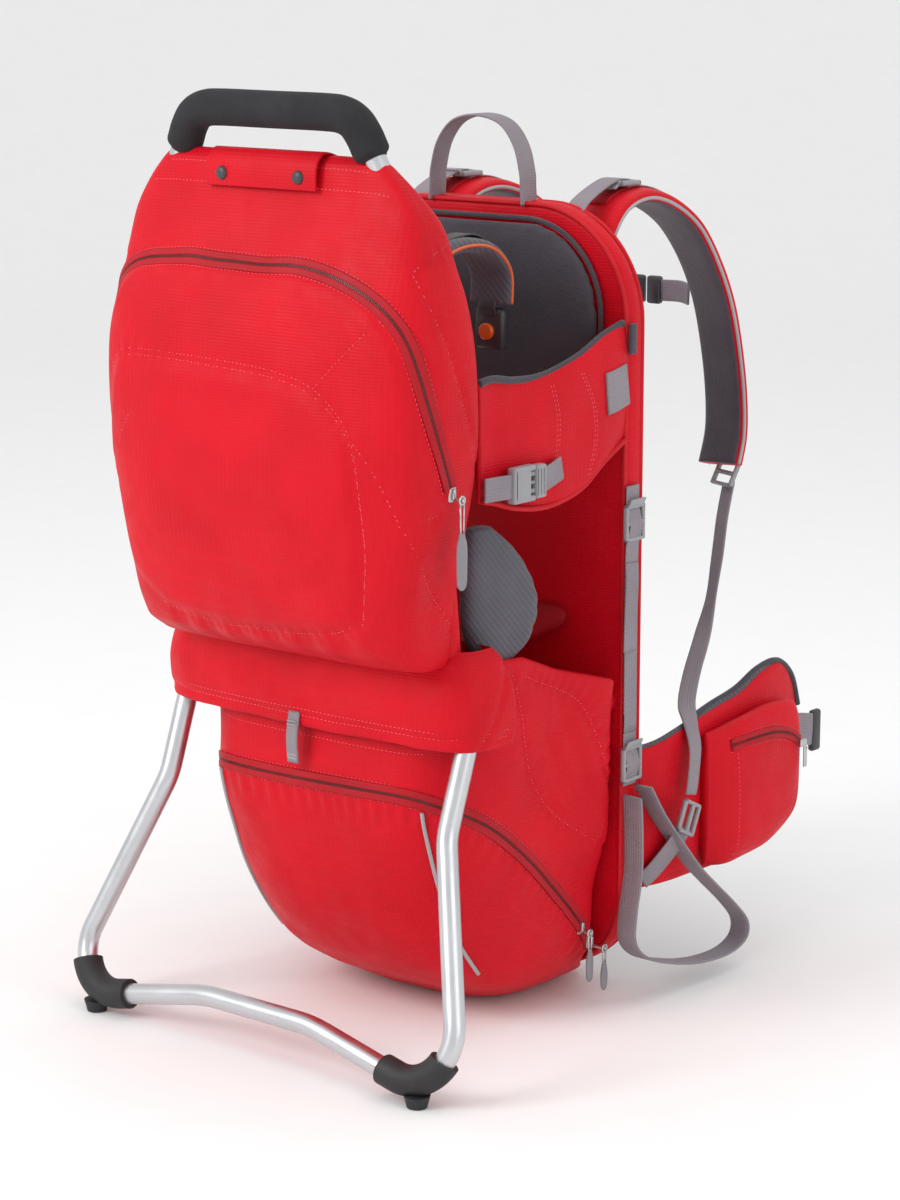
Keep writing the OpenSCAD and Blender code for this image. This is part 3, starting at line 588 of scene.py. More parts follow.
REAR = [
    (343, 146, -190, -244, 4.0, -216), (352, 149, -184, -256, 4.0, -216), (375, 151, -178, -270, 4.0, -218),
    (400, 153, -174, -279, 3.8, -220), (440, 159, -170, -287, 3.4, -222), (480, 166, -168, -290, 3.2, -224),
    (520, 172, -168, -290, 3.2, -225), (560, 175, -170, -289, 3.2, -226), (600, 175, -173, -286, 3.2, -228),
    (640, 169, -178, -278, 3.4, -230), (668, 162, -187, -269, 3.6, -232), (700, 154, -198, -260, 3.8, -234),
    (722, 141, -212, -255, 3.8, -236), (742, 122, -224, -252, 3.6, -238), (749, 113, -231, -247, 3.2, -239),
    (751.5, 104, -236, -243, 3.0, -239.5),
]
REAR_CENTRE = (0, -225, 560)
ZIP_ARCH = [
    (-176, -232, 560), (-173, -252, 610), (-160, -268, 645), (-136, -275, 662), (-100, -278, 669),
    (-10, -281, 671), (60, -278, 668), (106, -277, 656), (138, -275, 640), (160, -272, 618), (170, -266, 590), (173, -256, 558),
    (171, -243, 524), (169, -229, 496),
]
PANEL_SEAM = [
    (-160, -288, 566), (-149, -290, 580), (-130, -291, 585), (-85, -291, 586), (-35, -291, 585),
    (30, -291, 582), (73, -291, 574), (101, -290, 557), (117, -290, 537), (123, -290, 515), (127, -290, 480),
    (128, -285, 440), (118, -272, 390),
]
PANEL_FOOT = [
    (118, -270, 388), (95, -268, 377), (69, -268, 371), (21, -268, 366), (-29, -268, 364), (-68, -268, 367),
    (-100, -268, 374),
]
LONG_DIAGONAL = [
    (122, -289, 530), (140, -284, 506), (157, -272, 466), (163, -262, 447), (163, -246, 425),
    (160, -226, 400), (155, -195, 372),
]
GUSSET = [(165, -262, 664), (170, -252, 645), (173, -240, 620), (174, -230, 594), (172, -209, 544), (167, -188, 506)]
BAG_SEAMS = [
    [(82, -288, 571), (110, -285, 600), (138, -276, 628)],
    LONG_DIAGONAL,
    [(157, -272, 466), (166, -256, 468), (168, -238, 471)],
    mirror(LONG_DIAGONAL, -1),
    GUSSET,
    mirror(GUSSET, -1),
    [(165, -262, 668), (163, -235, 676), (160, -212, 684)],
]
p = shell(REAR, 10, 320, 4.0)
n = normals_of(p, REAR_CENTRE)
plain = bvh_of(solid(p))
arch_line = seam_on(plain, ZIP_ARCH, REAR_CENTRE)
panel_line = seam_on(plain, PANEL_SEAM, REAR_CENTRE)
foot_line = seam_on(plain, PANEL_FOOT, REAR_CENTRE)
lines = [seam_on(plain, line, REAR_CENTRE) for line in BAG_SEAMS]
behind = np.clip(-n[..., 1] * 3, 0, 1)
in_pocket = inside(p, np.concatenate([arch_line, [(168, 0, 440), (150, 0, 345), (-150, 0, 345), (-176, 0, 480)]]))
in_panel = inside(p, np.concatenate([panel_line, foot_line, [(-140, 0, 400), (-165, 0, 500)]]))
rise = 5.0 * step_up(in_pocket, 16) + 3.0 * step_up(in_panel, 14)
p = p + n * (rise * behind + 1.5 * rough(p, (90, 90, 120), 1) + 0.7 * rough(p, (26, 26, 60), 2))[..., None]
for line, depth in [(panel_line, 2.4), (foot_line, 2.2)] + [(x, 1.7) for x in lines]:
    p = groove(p, n, line, depth, 3.6)
    p = gathers(p, n, line, 0.45, 9.0, 11.0)
p = gathers(p, n, foot_line - arr([0, 0, 14]), 1.3, 14.0, 34.0, 3)
rear = solid(p)
rear_bvh = bvh_of(rear)
rear_bag = make("rear_bag", rear, RED, "frame")
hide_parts("rear_body", "upper_pocket")
zipper("upper_zip", rear_bvh, ZIP_ARCH, REAR_CENTRE, "frame", tape=13, lift=1.0)
thread = Bits()
beside = [(panel_line, (0, 0, -3.4)), (panel_line, (0, 0, 3.4)), (foot_line, (0, 0, 3.4))]
for line, shift in beside + [(line, (0, -1.5, 2.6)) for line in lines]:
    stitches(thread, rear_bvh, line + arr(shift), REAR_CENTRE)
for z, reach in ((745, 106), (727, 128)):
    stitches(thread, rear_bvh, [(x, -262, z) for x in np.linspace(-reach, reach, 60)], REAR_CENTRE)
make("rear_thread", thread, THREAD, "frame", flat=True)

# ---------- skirt band ----------

SKIRT = [
    (272, 170, -146, -212, 5.0, -150), (274, 173, -145, -215, 5.0, -150), (290, 175, -145, -217, 5.0, -150),
    (310, 175, -145, -218, 5.0, -150), (330, 172, -146, -217, 4.5, -152), (345, 166, -150, -213, 4.2, -156),
    (353, 158, -156, -206, 4.0, -160),
]
SKIRT_CENTRE = (0, -170, 310)
p = shell(SKIRT, 8, 280, 2.5)
n = normals_of(p, SKIRT_CENTRE)
p = p + n * (1.8 * rough(p, (70, 70, 30), 4) + 0.9 * rough(p, (22, 22, 40), 5))[..., None]
half_hem = [(170, -160, 281), (168, -205, 281), (150, -215, 281)]
hem = half_hem + [(0, -217, 281)] + [(-x, y, z) for x, y, z in half_hem[::-1]]
corner = [(171, -152, 340), (174, -168, 312), (174, -182, 288), (173, -190, 274)]
plain = bvh_of(Bits().grid(p, wrap=True))
p = groove(p, n, seam_on(plain, hem, SKIRT_CENTRE), 1.3, 3.5)
for side in (-1, 1):
    p = groove(p, n, seam_on(plain, mirror(corner, side), SKIRT_CENTRE), 1.6, 3.5)
skirt_bits = Bits().grid(p, wrap=True)
skirt_bvh = bvh_of(skirt_bits)
skirt = make("skirt", skirt_bits, RED, "frame")
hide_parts("skirt_band")
thread = Bits()
for z in (0, 6):
    stitches(thread, skirt_bvh, seam_on(skirt_bvh, hem, SKIRT_CENTRE) + arr([0, 0, z]), SKIRT_CENTRE)
make("skirt_thread", thread, THREAD, "frame", flat=True)

# ---------- lower bag with the side walls of the leg openings ----------


def opening_edge(y):
    return np.interp(y, [-146, -110, -60, 0, 20], [334, 332, 312, 295, 290])


BAG = [
    (8, 92, 70, -78, 3.0, 0), (20, 112, 40, -100, 3.0, -10), (32, 125, 20, -122, 3.0, -20), (45, 132, 19, -140, 3.0, -25),
    (62, 137, 19, -156, 3.0, -30), (100, 142, 19, -178, 3.2, -35), (150, 146, 19, -194, 3.6, -40),
    (200, 148, 19, -204, 4.0, -45), (228, 149, 19, -208, 4.0, -50), (262, 151, 19, -204, 4.0, -60),
    (300, 154, 19, -196, 4.0, -60),
]
BAG_CENTRE = (0, -60, 180)
WALL_FOOT, WALL_TOP = 228, 300
p = shell(BAG, 10, 300, 8.0)
top = np.clip((p[..., 2] - WALL_FOOT) / (WALL_TOP - WALL_FOOT), 0, 1)
p[..., 2] = np.where(top > 0, WALL_FOOT + top * (opening_edge(p[..., 1]) - WALL_FOOT), p[..., 2])
flare = 12.5 * step_up(p[..., 1] + 70, 85) * step_up(p[..., 2] - 95, 70)
p[..., 0] += np.sign(p[..., 0]) * flare * step_up(np.abs(p[..., 0]) - 90, 50)
n = normals_of(p, BAG_CENTRE)
p = p + n * (1.5 * rough(p, (80, 80, 90), 7) + 0.8 * rough(p, (26, 40, 40), 8))[..., None]
LOWER_ZIP = [
    (-147, -10, 64), (-147, -29, 91), (-147, -66, 126), (-147, -101, 159), (-147, -139, 190), (-147, -170, 207),
    (-140, -197, 217), (-100, -206, 222), (-17, -208, 224), (60, -208, 226), (107, -206, 225), (140, -197, 217),
    (147, -170, 207), (147, -139, 190), (147, -101, 159), (147, -66, 126), (144, -29, 91), (139, 0, 62),
    (137.5, 6, 53),
]
SIDE_SEAM = [
    (151, -124, 318), (151, -111, 279), (151, -104, 248), (150, -93, 218), (148, -67, 188), (146, -31, 163),
    (145, 5, 145),
]
FRONT_SEAM = [(152, -108, 314), (152, -80, 302), (152, -40, 283), (151, -17, 250), (150, 0, 212), (148, 10, 180)]
PIPING = [
    (117, -203, 212), (119, -198, 182), (120, -189, 150), (120, -176, 120), (118, -162, 95), (117, -140, 68),
    (114, -120, 50),
]
FOLDS = (
    [(152, -60, 285), (151, -38, 240), (150, -20, 205)], [(151, -75, 260), (150, -50, 215), (149, -20, 180)],
)
plain = bvh_of(solid(p))
low_zip = seam_on(plain, LOWER_ZIP, BAG_CENTRE)
seams = [seam_on(plain, mirror(line, s), BAG_CENTRE) for line in (SIDE_SEAM, FRONT_SEAM) for s in (-1, 1)]
below_zip = np.maximum(distance_to(p, low_zip - arr([0, 0, 26]))[0] - 10, 0)
p = p + n * (3.0 * np.exp(-((below_zip / 26) ** 2)))[..., None]
p = gathers(p, n, low_zip - arr([0, 0, 16]), 0.9, 11.0, 15.0, 2)
for line in seams:
    p = groove(p, n, line, 1.8, 3.6)
    p = gathers(p, n, line + arr([0, 7, 4]), 0.9, 10.0, 12.0, 5)
for side in (-1, 1):
    for line in FOLDS:
        p = groove(p, n, seam_on(plain, mirror(line, side), BAG_CENTRE), 1.6, 7.0)
rim = p[-1]
inward = arr([0, -60, 0]) - rim * arr([1, 1, 0])
inward = inward / np.linalg.norm(inward, axis=1, keepdims=True)
rolled = [rim + inward * a + arr([0, 0, b]) for a, b in ((3, 2.5), (8, 1), (16, -10), (40, -22), (70, -28))]
bag = solid(np.concatenate([p, arr(rolled)]))
bag_bvh = bvh_of(bag)
lower = make("lower_bag_skin", bag, RED, "frame")
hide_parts("lower_bag", "side_panels")
zipper("lower_zip", bag_bvh, LOWER_ZIP, BAG_CENTRE, "frame", tape=13, lift=0.8)
thread = Bits()
for line in seams:
    stitches(thread, bag_bvh, line + arr([0, 2.5, 2.5]), BAG_CENTRE)
stitches(thread, bag_bvh, [(x, -210, 262) for x in np.linspace(-120, 120, 60)], BAG_CENTRE)
make("lower_thread", thread, THREAD, "frame", flat=True)
for side, word in SIDES:
    piping(f"bag_piping_{word}", bag_bvh, mirror(PIPING, side), BAG_CENTRE, "frame", 1.8)

BASE = [
    (0, 40, 50, -30, 3, 0), (0.3, 62, 70, -46, 3, 10), (2, 78, 74, -56, 3, 10), (8, 90, 77, -72, 3, 5),
    (19, 100, 78, -88, 3, 0),
]
base_skin = make("base_skin", solid(shell(BASE, 4, 120, 4)), RED, "frame")
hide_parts("base_panel")

# Fabric sleeves round the hidden braces and the legs of the rear frame.
for side, word in SIDES:
    brace = mirror(smooth([(146.5, 20, 271), (141, -80, 293.7), (136.4, -180, 316)], 12), side)
    brace[:, 2] += 0.6 * np.sin(np.arange(len(brace)) * 1.3)
    make(f"brace_sleeve_{word}", tube(brace, 8.6, 20), RED, "frame")
    leg = mirror(smooth([(136.6, -186, 304), (138, -192.6, 360), (141, -205, 440)], 10), side)
    make(f"leg_sleeve_{word}", tube(leg, 10.6, 20), RED, "frame")

# ---------- flat pads and the back panel ----------


def arch(half_w, low, high, low_r, high_r, n=160):
    """Outline in x and z with its own bottom and top corner radii, evenly spaced."""
    pts = []
    corners = (
        (half_w - low_r, low + low_r, low_r, -90), (half_w - high_r, high - high_r, high_r, 0),
        (-half_w + high_r, high - high_r, high_r, 90), (-half_w + low_r, low + low_r, low_r, 180),
    )
    for cx, cz, r, start in corners:
        for a in np.radians(np.linspace(start, start + 90, 16)):
            pts.append((cx + r * math.cos(a), 0, cz + r * math.sin(a)))
    pts.append(pts[0])
    return even(pts, n + 1)[:-1]


def cushion(outline, y_from, y_to, crown_from=0.0, crown_to=0.0, edge=0.35, rings=16):
    """A slab with rounded edges and crowned faces: a closed grid from one face's middle to the other's."""
    mid = outline.mean(0)
    half = (y_to - y_from) / 2
    size = np.linalg.norm(outline - mid, axis=1).mean()
    inset = half * edge / size
    reach = [1 - (1 - k / rings) ** 1.6 * 0.97 for k in range(rings + 1)]
    grid = [(r * (1 - inset), y_from - crown_from * (1 - r**3)) for r in reach]
    for a in np.radians(np.linspace(-80, 80, 7)):
        grid.append((1 - inset * (1 - math.cos(a)), (y_from + y_to) / 2 + half * math.sin(a)))
    grid += [(r * (1 - inset), y_to + crown_to * (1 - r**3)) for r in reach[::-1]]
    return arr([mid + (outline - mid) * r + arr([0, y, 0]) for r, y in grid])


panel = cushion(arch(162, 20.3, 698, 75, 98, 220), 20, 44, 0, 1, 0.5)
back_panel = make("back_panel_skin", solid(panel), RED, "frame")
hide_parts("back_panel")
for y, word in ((20.5, "child"), (43.5, "wearer")):
    edge = arch(159.5, 23, 695.5, 73, 96, 240) + arr([0, y, 0])
    make(f"panel_binding_{word}", tube(edge, 2.2, 8, closed=True), RED_EDGE, "frame")


CLOTH_FRAMES = 20


def puff(ob, pressure, cap, voxel=5.0):
    """Swells a closed soft piece with a cloth simulation, and keeps each point within cap of where it was."""
    apply_modifier(ob, "REMESH", mode="VOXEL", voxel_size=voxel * MM, use_smooth_shade=True)
    start = np.zeros(len(ob.data.vertices) * 3)
    ob.data.vertices.foreach_get("co", start)
    mod = ob.modifiers.new("cloth", "CLOTH")
    s = mod.settings
    s.quality = 5
    s.mass = 0.3
    s.tension_stiffness = s.compression_stiffness = 18
    s.bending_stiffness = 0.4
    s.use_pressure = True
    s.uniform_pressure_force = pressure
    s.effector_weights.gravity = 0
    scene = bpy.context.scene
    for span in (scene, mod.point_cache):
        span.frame_start, span.frame_end = 1, CLOTH_FRAMES
    for f in range(1, CLOTH_FRAMES + 1):
        scene.frame_set(f)
    got = bpy.data.meshes.new_from_object(ob.evaluated_get(bpy.context.evaluated_depsgraph_get()))
    end = np.zeros(len(got.vertices) * 3)
    got.vertices.foreach_get("co", end)
    move = (end - start).reshape(-1, 3)
    far = np.linalg.norm(move, axis=1, keepdims=True)
    move = move * np.minimum(1, cap * MM / np.maximum(far, 1e-9))
    ob.modifiers.remove(mod)
    bpy.data.meshes.remove(got)
    ob.data.vertices.foreach_set("co", (start.reshape(-1, 3) + move).ravel())
    ob.data.polygons.foreach_set("use_smooth", [True] * len(ob.data.polygons))
    scene.frame_set(1)
    apply_modifier(ob, "SUBSURF", levels=1, render_levels=1)


def pad(name, outline, y_from, y_to, mat, node_name, crown, cap, pressure=4.0, inset=2.0):
    """A swollen cushion that starts a little smaller than its outline; crown is for its two faces."""
    mid = outline.mean(0)
    shrunk = mid + (outline - mid) * (1 - inset / np.linalg.norm(outline - mid, axis=1).mean())
    ob = make(name, solid(cushion(shrunk, y_from, y_to, *crown, 0.6)), mat)
    puff(ob, pressure, cap)
    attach(ob, "frame")
    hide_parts(node_name)


pad("head_cushion", arch(138, 500, 685, 20, 80), 9, 18, CHARCOAL, "head_pad", (2, 0), 3)
pad("back_cushion", arch(128, 240, 600, 40, 70), 46, 60, RIBBED, "back_pad", (0, 4), 4)
pad("lumbar_cushion", arch(140, 32, 228, 60, 50), 46, 68, RIBBED, "lumbar_pad", (0, 5), 5)
for word, outline, y in (
    ("head", arch(136.5, 501.5, 683.5, 19, 79, 200), 15.5), ("back", arch(126.5, 241.5, 598.5, 39, 69, 200), 50),
    ("lumbar", arch(138.5, 33.5, 226.5, 59, 49, 200), 51),
):
    make(f"{word}_pad_piping", tube(outline + arr([0, y, 0]), 2.2, 8, closed=True), CHARCOAL, "frame")
thread = Bits()
for z in (330, 420, 510):
    for x in np.linspace(-108, 108, 54):
        block(thread, (x, 65.4 - (x / 128) ** 2 * 3.4, z + 8 * math.cos(x / 80)), (2.6, 0.7, 0.7), r=0.2)
make("back_pad_thread", thread, GREY_PLASTIC, "frame", flat=True)


# ---------- strips along y: wings, hip fins, leg pads ----------


def strip(rows, steps, n=28, power=2.6):
    """Loft along y of upright rounded sections: [y, x, low z, high z, thickness]."""
    a = np.linspace(0, 2 * np.pi, n, endpoint=False)
    across = np.sign(np.sin(a)) * np.abs(np.sin(a)) ** 0.8
    upward = np.sign(np.cos(a)) * np.abs(np.cos(a)) ** (2 / power * 0.8)
    out = []
    for y, x, low, high, t in smooth(rows, steps):
        z = (low + high) / 2 + (high - low) / 2 * upward
        out.append(np.stack([x + t / 2 * across, np.full_like(a, y), z], 1))
    return arr(out)


WING = [
    (-176, 156, 474, 572, 6), (-158, 154, 470, 574, 8), (-130, 156, 462, 570, 9), (-90, 159, 458, 570, 9.5),
    (-45, 160, 466, 580, 10), (-10, 160, 486, 594, 10), (19, 157, 500, 602, 9),
]
WING_CENTRE = (0, -80, 520)
WING_SEAMS = (
    [(168, -88, 560), (169, -80, 530), (168, -84, 500), (167, -96, 470)],
    [(168, -48, 566), (170, -34, 540), (169, -30, 512), (167, -38, 480)],
)
ELASTIC = [(168, -15, 545), (168, 2, 547), (167, 19, 550)]
for side, word in SIDES:
    p = strip(WING, 6, 40)
    p = p + arr([1, 0, 0]) * (0.9 * rough(p, (60, 30, 50), 11))[..., None]
    wing_bits = solid(mirror(p, side))
    wing = make(f"wing_{word}", wing_bits, RED, "frame")
    if side > 0:
        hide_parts("side_wings")
    edge = smooth([(157, y, high - 1) for y, x, low, high, t in WING], 6)
    make(f"wing_edge_{word}", tube(mirror(edge, side), 3.2, 10), CHARCOAL, "frame")
    hem = smooth([(161, y, low + 2) for y, x, low, high, t in WING], 6)
    make(f"wing_hem_{word}", tube(mirror(hem, side), 2.4, 8), RED_EDGE, "frame")
    surface = bvh_of(wing_bits)
    thread = Bits()
    for line in WING_SEAMS:
        for shift in (0, 3.2):
            stitches(thread, surface, mirror(smooth(line, 6), side) + arr([0, shift, 0]), WING_CENTRE)
    make(f"wing_thread_{word}", thread, THREAD, "frame", flat=True)
    elastic = lay(surface, mirror(smooth(ELASTIC, 6), side), 1.0, WING_CENTRE)[0]
    make(f"wing_elastic_{word}", ribbon(elastic, (0, 0, 1), 36, 2.2), WEBBING, "frame")
    tab = block(Bits(), mirror(arr((165.5, 22, 588)), side), (3, 9, 26), r=1.2)
    make(f"wing_tab_{word}", tab, CHARCOAL, "frame")

LEG_PAD = [
    (334, 10, -138, -108, 3, -122), (345, 13, -156, -88, 3, -122), (367, 14, -165, -76, 3, -120),
    (390, 14, -166, -80, 3, -122), (422, 13, -166, -104, 3, -135), (448, 8, -162, -138, 3, -150),
]
LEG_PAD_X = 135
for side, word in SIDES:
    p = shell(LEG_PAD, 6, 60, 3.0) + arr([LEG_PAD_X, 0, 0])
    for z in (356, 372, 388, 404, 420):
        p[..., 0] += 1.4 * np.sign(p[..., 0] - LEG_PAD_X) * -np.exp(-(((p[..., 2] - z) / 2.5) ** 2))
    leg = make(f"leg_cushion_{word}", solid(mirror(p, side)), RIBBED, "frame")
    if side > 0:
        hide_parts("leg_pads")

SEAT = [(-150, 108, 318, 338), (-110, 84, 306, 330), (-60, 62, 300, 326), (-15, 70, 304, 332), (14, 104, 320, 352)]
a = np.linspace(0, 2 * np.pi, 48, endpoint=False)
p = []
for y, w, low, high in smooth(SEAT, 6):
    x = w * np.sign(np.sin(a)) * np.abs(np.sin(a)) ** 0.6
    middle = (low + high) / 2 + 5 - 10 * (1 - (x / w) ** 2)
    z = middle + (high - low) / 2 * np.sign(np.cos(a)) * np.abs(np.cos(a)) ** 0.7
    p.append(np.stack([x, np.full_like(a, y), z], 1))
# The seat sling uses the red ripstop darkened to half: painted shade inside the child's seat.
seat = make("seat_sling", solid(arr(p)), RED_PAINTED_SHADE, "frame")
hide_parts("seat")

# ---------- child harness ----------

HARNESS_X = 58
HARNESS = [(-171, 624), (-150, 650), (-105, 668), (-62, 666), (-36, 645), (-34, 616)]
HARNESS_WEBS = (
    [(-40, 618), (-41, 612), (-39, 606)], [(-158, 652), (-128, 668), (-90, 676), (-60, 674), (-34, 652), (-27, 630)],
)


def soft_band(path, wide, w, t, n=24, power=2.6):
    """Padded strap: a rounded section swept along a path. Returns the grid."""
    p = arr(path)
    wide = np.broadcast_to(arr(wide), p.shape)
    d = unit(np.gradient(p, axis=0))
    across = unit(wide - d * (wide * d).sum(1, keepdims=True))
    out = np.cross(d, across)
    a = np.linspace(0, 2 * np.pi, n, endpoint=False)
    x = w / 2 * np.sign(np.cos(a)) * np.abs(np.cos(a)) ** (2 / power / 1.6)
    y = t / 2 * np.sign(np.sin(a)) * np.abs(np.sin(a)) ** (2 / power)
    return p[:, None] + across[:, None] * x[None, :, None] + out[:, None] * y[None, :, None]


webs = Bits()
trim = Bits()
for side, word in SIDES:
    route = smooth([(side * HARNESS_X, y, z) for y, z in HARNESS], 8)
    ob = make(f"harness_band_{word}", solid(soft_band(route, (1, 0, 0), 44, 12, 28)), RIBBED, "frame")
    if side > 0:
        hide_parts("harness_pads")
    for line in HARNESS_WEBS:
        webs.join(ribbon(smooth([(side * HARNESS_X, y, z) for y, z in line], 6), (1, 0, 0), 18, 1.6))
    for s in (-1, 1):
        trim.join(tube(route + arr([s * 21.5, 0, 0]), 1.5, 8))
make("harness_webs", webs, DARK_PLASTIC, "frame")
make("harness_trim", trim, ORANGE, "frame")

at = arr([HARNESS_X, -34, 596])
b = block(Bits(), at + arr([0, 0, -2]), (30, 10, 36), r=3.5)
block(b, at + arr([0, -3.5, 12]), (24, 4, 6), r=1.5)
harness_shell = make("harness_buckle_shell", b, DARK_PLASTIC, "frame")
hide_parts("harness_buckle")
b = tube([at + arr([0, -9.6, -4]), at + arr([0, -9.3, -4]), at + arr([0, -5, -4])], [5.8, 7, 7], 28)
button = make("harness_button_cap", b, ORANGE, "release_button")
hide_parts("harness_button")


# ---------- buckles ----------


def frame_axes(right, up):
    right = unit(right)
    out = unit(np.cross(right, up))
    return arr([right, unit(np.cross(out, right)), out])


def ladder_lock(bits, at, axes, w=26.0, h=34.0, t=5.0):
    """Tension buckle: a rounded frame with a middle bar and a lifted tab."""
    at = arr(at)
    r, u, o = axes
    for s in (-1, 1):
        block(bits, at + r * s * (w / 2 - 1.8), (3.6, h, t), axes, 1.6)
        block(bits, at + u * s * (h / 2 - 1.8), (w, 3.6, t), axes, 1.6)
    block(bits, at + o * 1.0, (w - 4, 4.2, t), axes, 1.8)
    tilt = frame_axes(r, u + o * 0.55)
    block(bits, at + u * (h / 2 + 1.5) + o * (t / 2), (w * 0.8, 8, 2.4), tilt, 1.0)
    return bits


COMPRESSION = (
    [
        (164.5, 26, 245), (164.2, 26, 320), (164.2, 26, 400), (166, 26, 416), (169, 26, 428), (166.5, 26, 436),
        (164.6, 26, 446), (164.4, 26, 462),
    ],
    [(164.3, 26, 198), (166, 26, 206), (169, 26, 216), (166, 26, 226), (164.3, 26, 236), (164.4, 26, 262)],
    [(165, 25, 395), (166.5, 24, 380), (167, 22, 352), (167, 21, 318)],
)
compression = Bits()
straps = Bits()
for side in (-1, 1):
    axes = frame_axes((0, side, 0), (0, 0, 1))
    for z in (430, 217):
        ladder_lock(compression, (side * 165.8, 27, z), axes, 27, 32, 5)
    for line in COMPRESSION:
        straps.join(ribbon(mirror(smooth(line, 6), side), (0, 1, 0), 18, 1.8))
locks = make("compression_lock_frames", compression, GREY_PLASTIC, "frame")
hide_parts("compression_buckles")
bands = make("compression_bands", straps, WEBBING, "frame")
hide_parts("compression_straps")

TIE = [(164, 48, 104), (170, 58, 114), (180, 72, 134), (186, 80, 150)]
lean_cos, lean_sin = math.cos(1.117), math.sin(1.117)
anchors = Bits()
ties = Bits()
for side in (-1, 1):
    axes = frame_axes((0, side * lean_cos, lean_sin), (0, -side * lean_sin, lean_cos))
    ladder_lock(anchors, (side * 186.5, 86, 158), axes, 30, 26, 5)
    ties.join(ribbon(mirror(smooth(TIE, 5), side), (0, 0.7, -0.7), 20, 1.8))
anchor = make("anchor_lock_frames", anchors, GREY_PLASTIC, "frame")
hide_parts("hip_rings")
make("anchor_ties", ties, WEBBING, "frame")

CLIP_X, CLIP_Z = 170, 486
CLIP_AXES = arr([(0, 1, 0), (0, 0, 1), (1, 0, 0)])
SOCKET_WEB = [(166.5, -180, 486), (168.6, -164, 486), (171, -151, 486)]
PLUG_WEB = [(171, -107, 486), (169.6, -96, 488), (168.2, -80, 492)]
sockets = Bits()
socket_webs = Bits()
for side, word in SIDES:
    x = side * CLIP_X
    for s in (-1, 1):
        block(sockets, (x, -136, CLIP_Z + s * 12.5), (28, 5, 9), CLIP_AXES, 1.8)
        block(sockets, (side * (CLIP_X + s * 3.6), -139, CLIP_Z), (20, 24, 1.8), CLIP_AXES, 0.8)
    block(sockets, (x, -148, CLIP_Z), (5, 28, 9), CLIP_AXES, 1.8)
    socket_webs.join(ribbon(mirror(smooth(SOCKET_WEB, 5), side), (0, 0, 1), 20, 1.8))
    plug = block(Bits(), (x, -114, CLIP_Z), (13, 28, 8.6), CLIP_AXES, 2.0)
    for s in (-1, 1):
        block(plug, (x, -124, CLIP_Z + s * 7), (14, 4, 3.6), CLIP_AXES, 1.2)
    block(plug, (x, -124, CLIP_Z), (14, 3, 3.6), CLIP_AXES, 1.0)
    for y in (-111, -115, -119):
        block(plug, (side * 174.6, y, CLIP_Z), (1.6, 22, 1.2), CLIP_AXES, 0.5)
    ob = make(f"plug_body_{word}", plug, GREY_PLASTIC, f"plug_{word}")
    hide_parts(f"side_buckle_plug_{word}")
    plug_web = ribbon(mirror(smooth(PLUG_WEB, 5), side), (0, 0, 1), 20, 1.8)
    make(f"plug_web_{word}", plug_web, WEBBING, f"plug_{word}")
ob = make("socket_bodies", sockets, GREY_PLASTIC, "frame")
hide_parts("side_buckle_sockets")
make("socket_webs", socket_webs, WEBBING, "frame")

# ---------- shoulder straps ----------

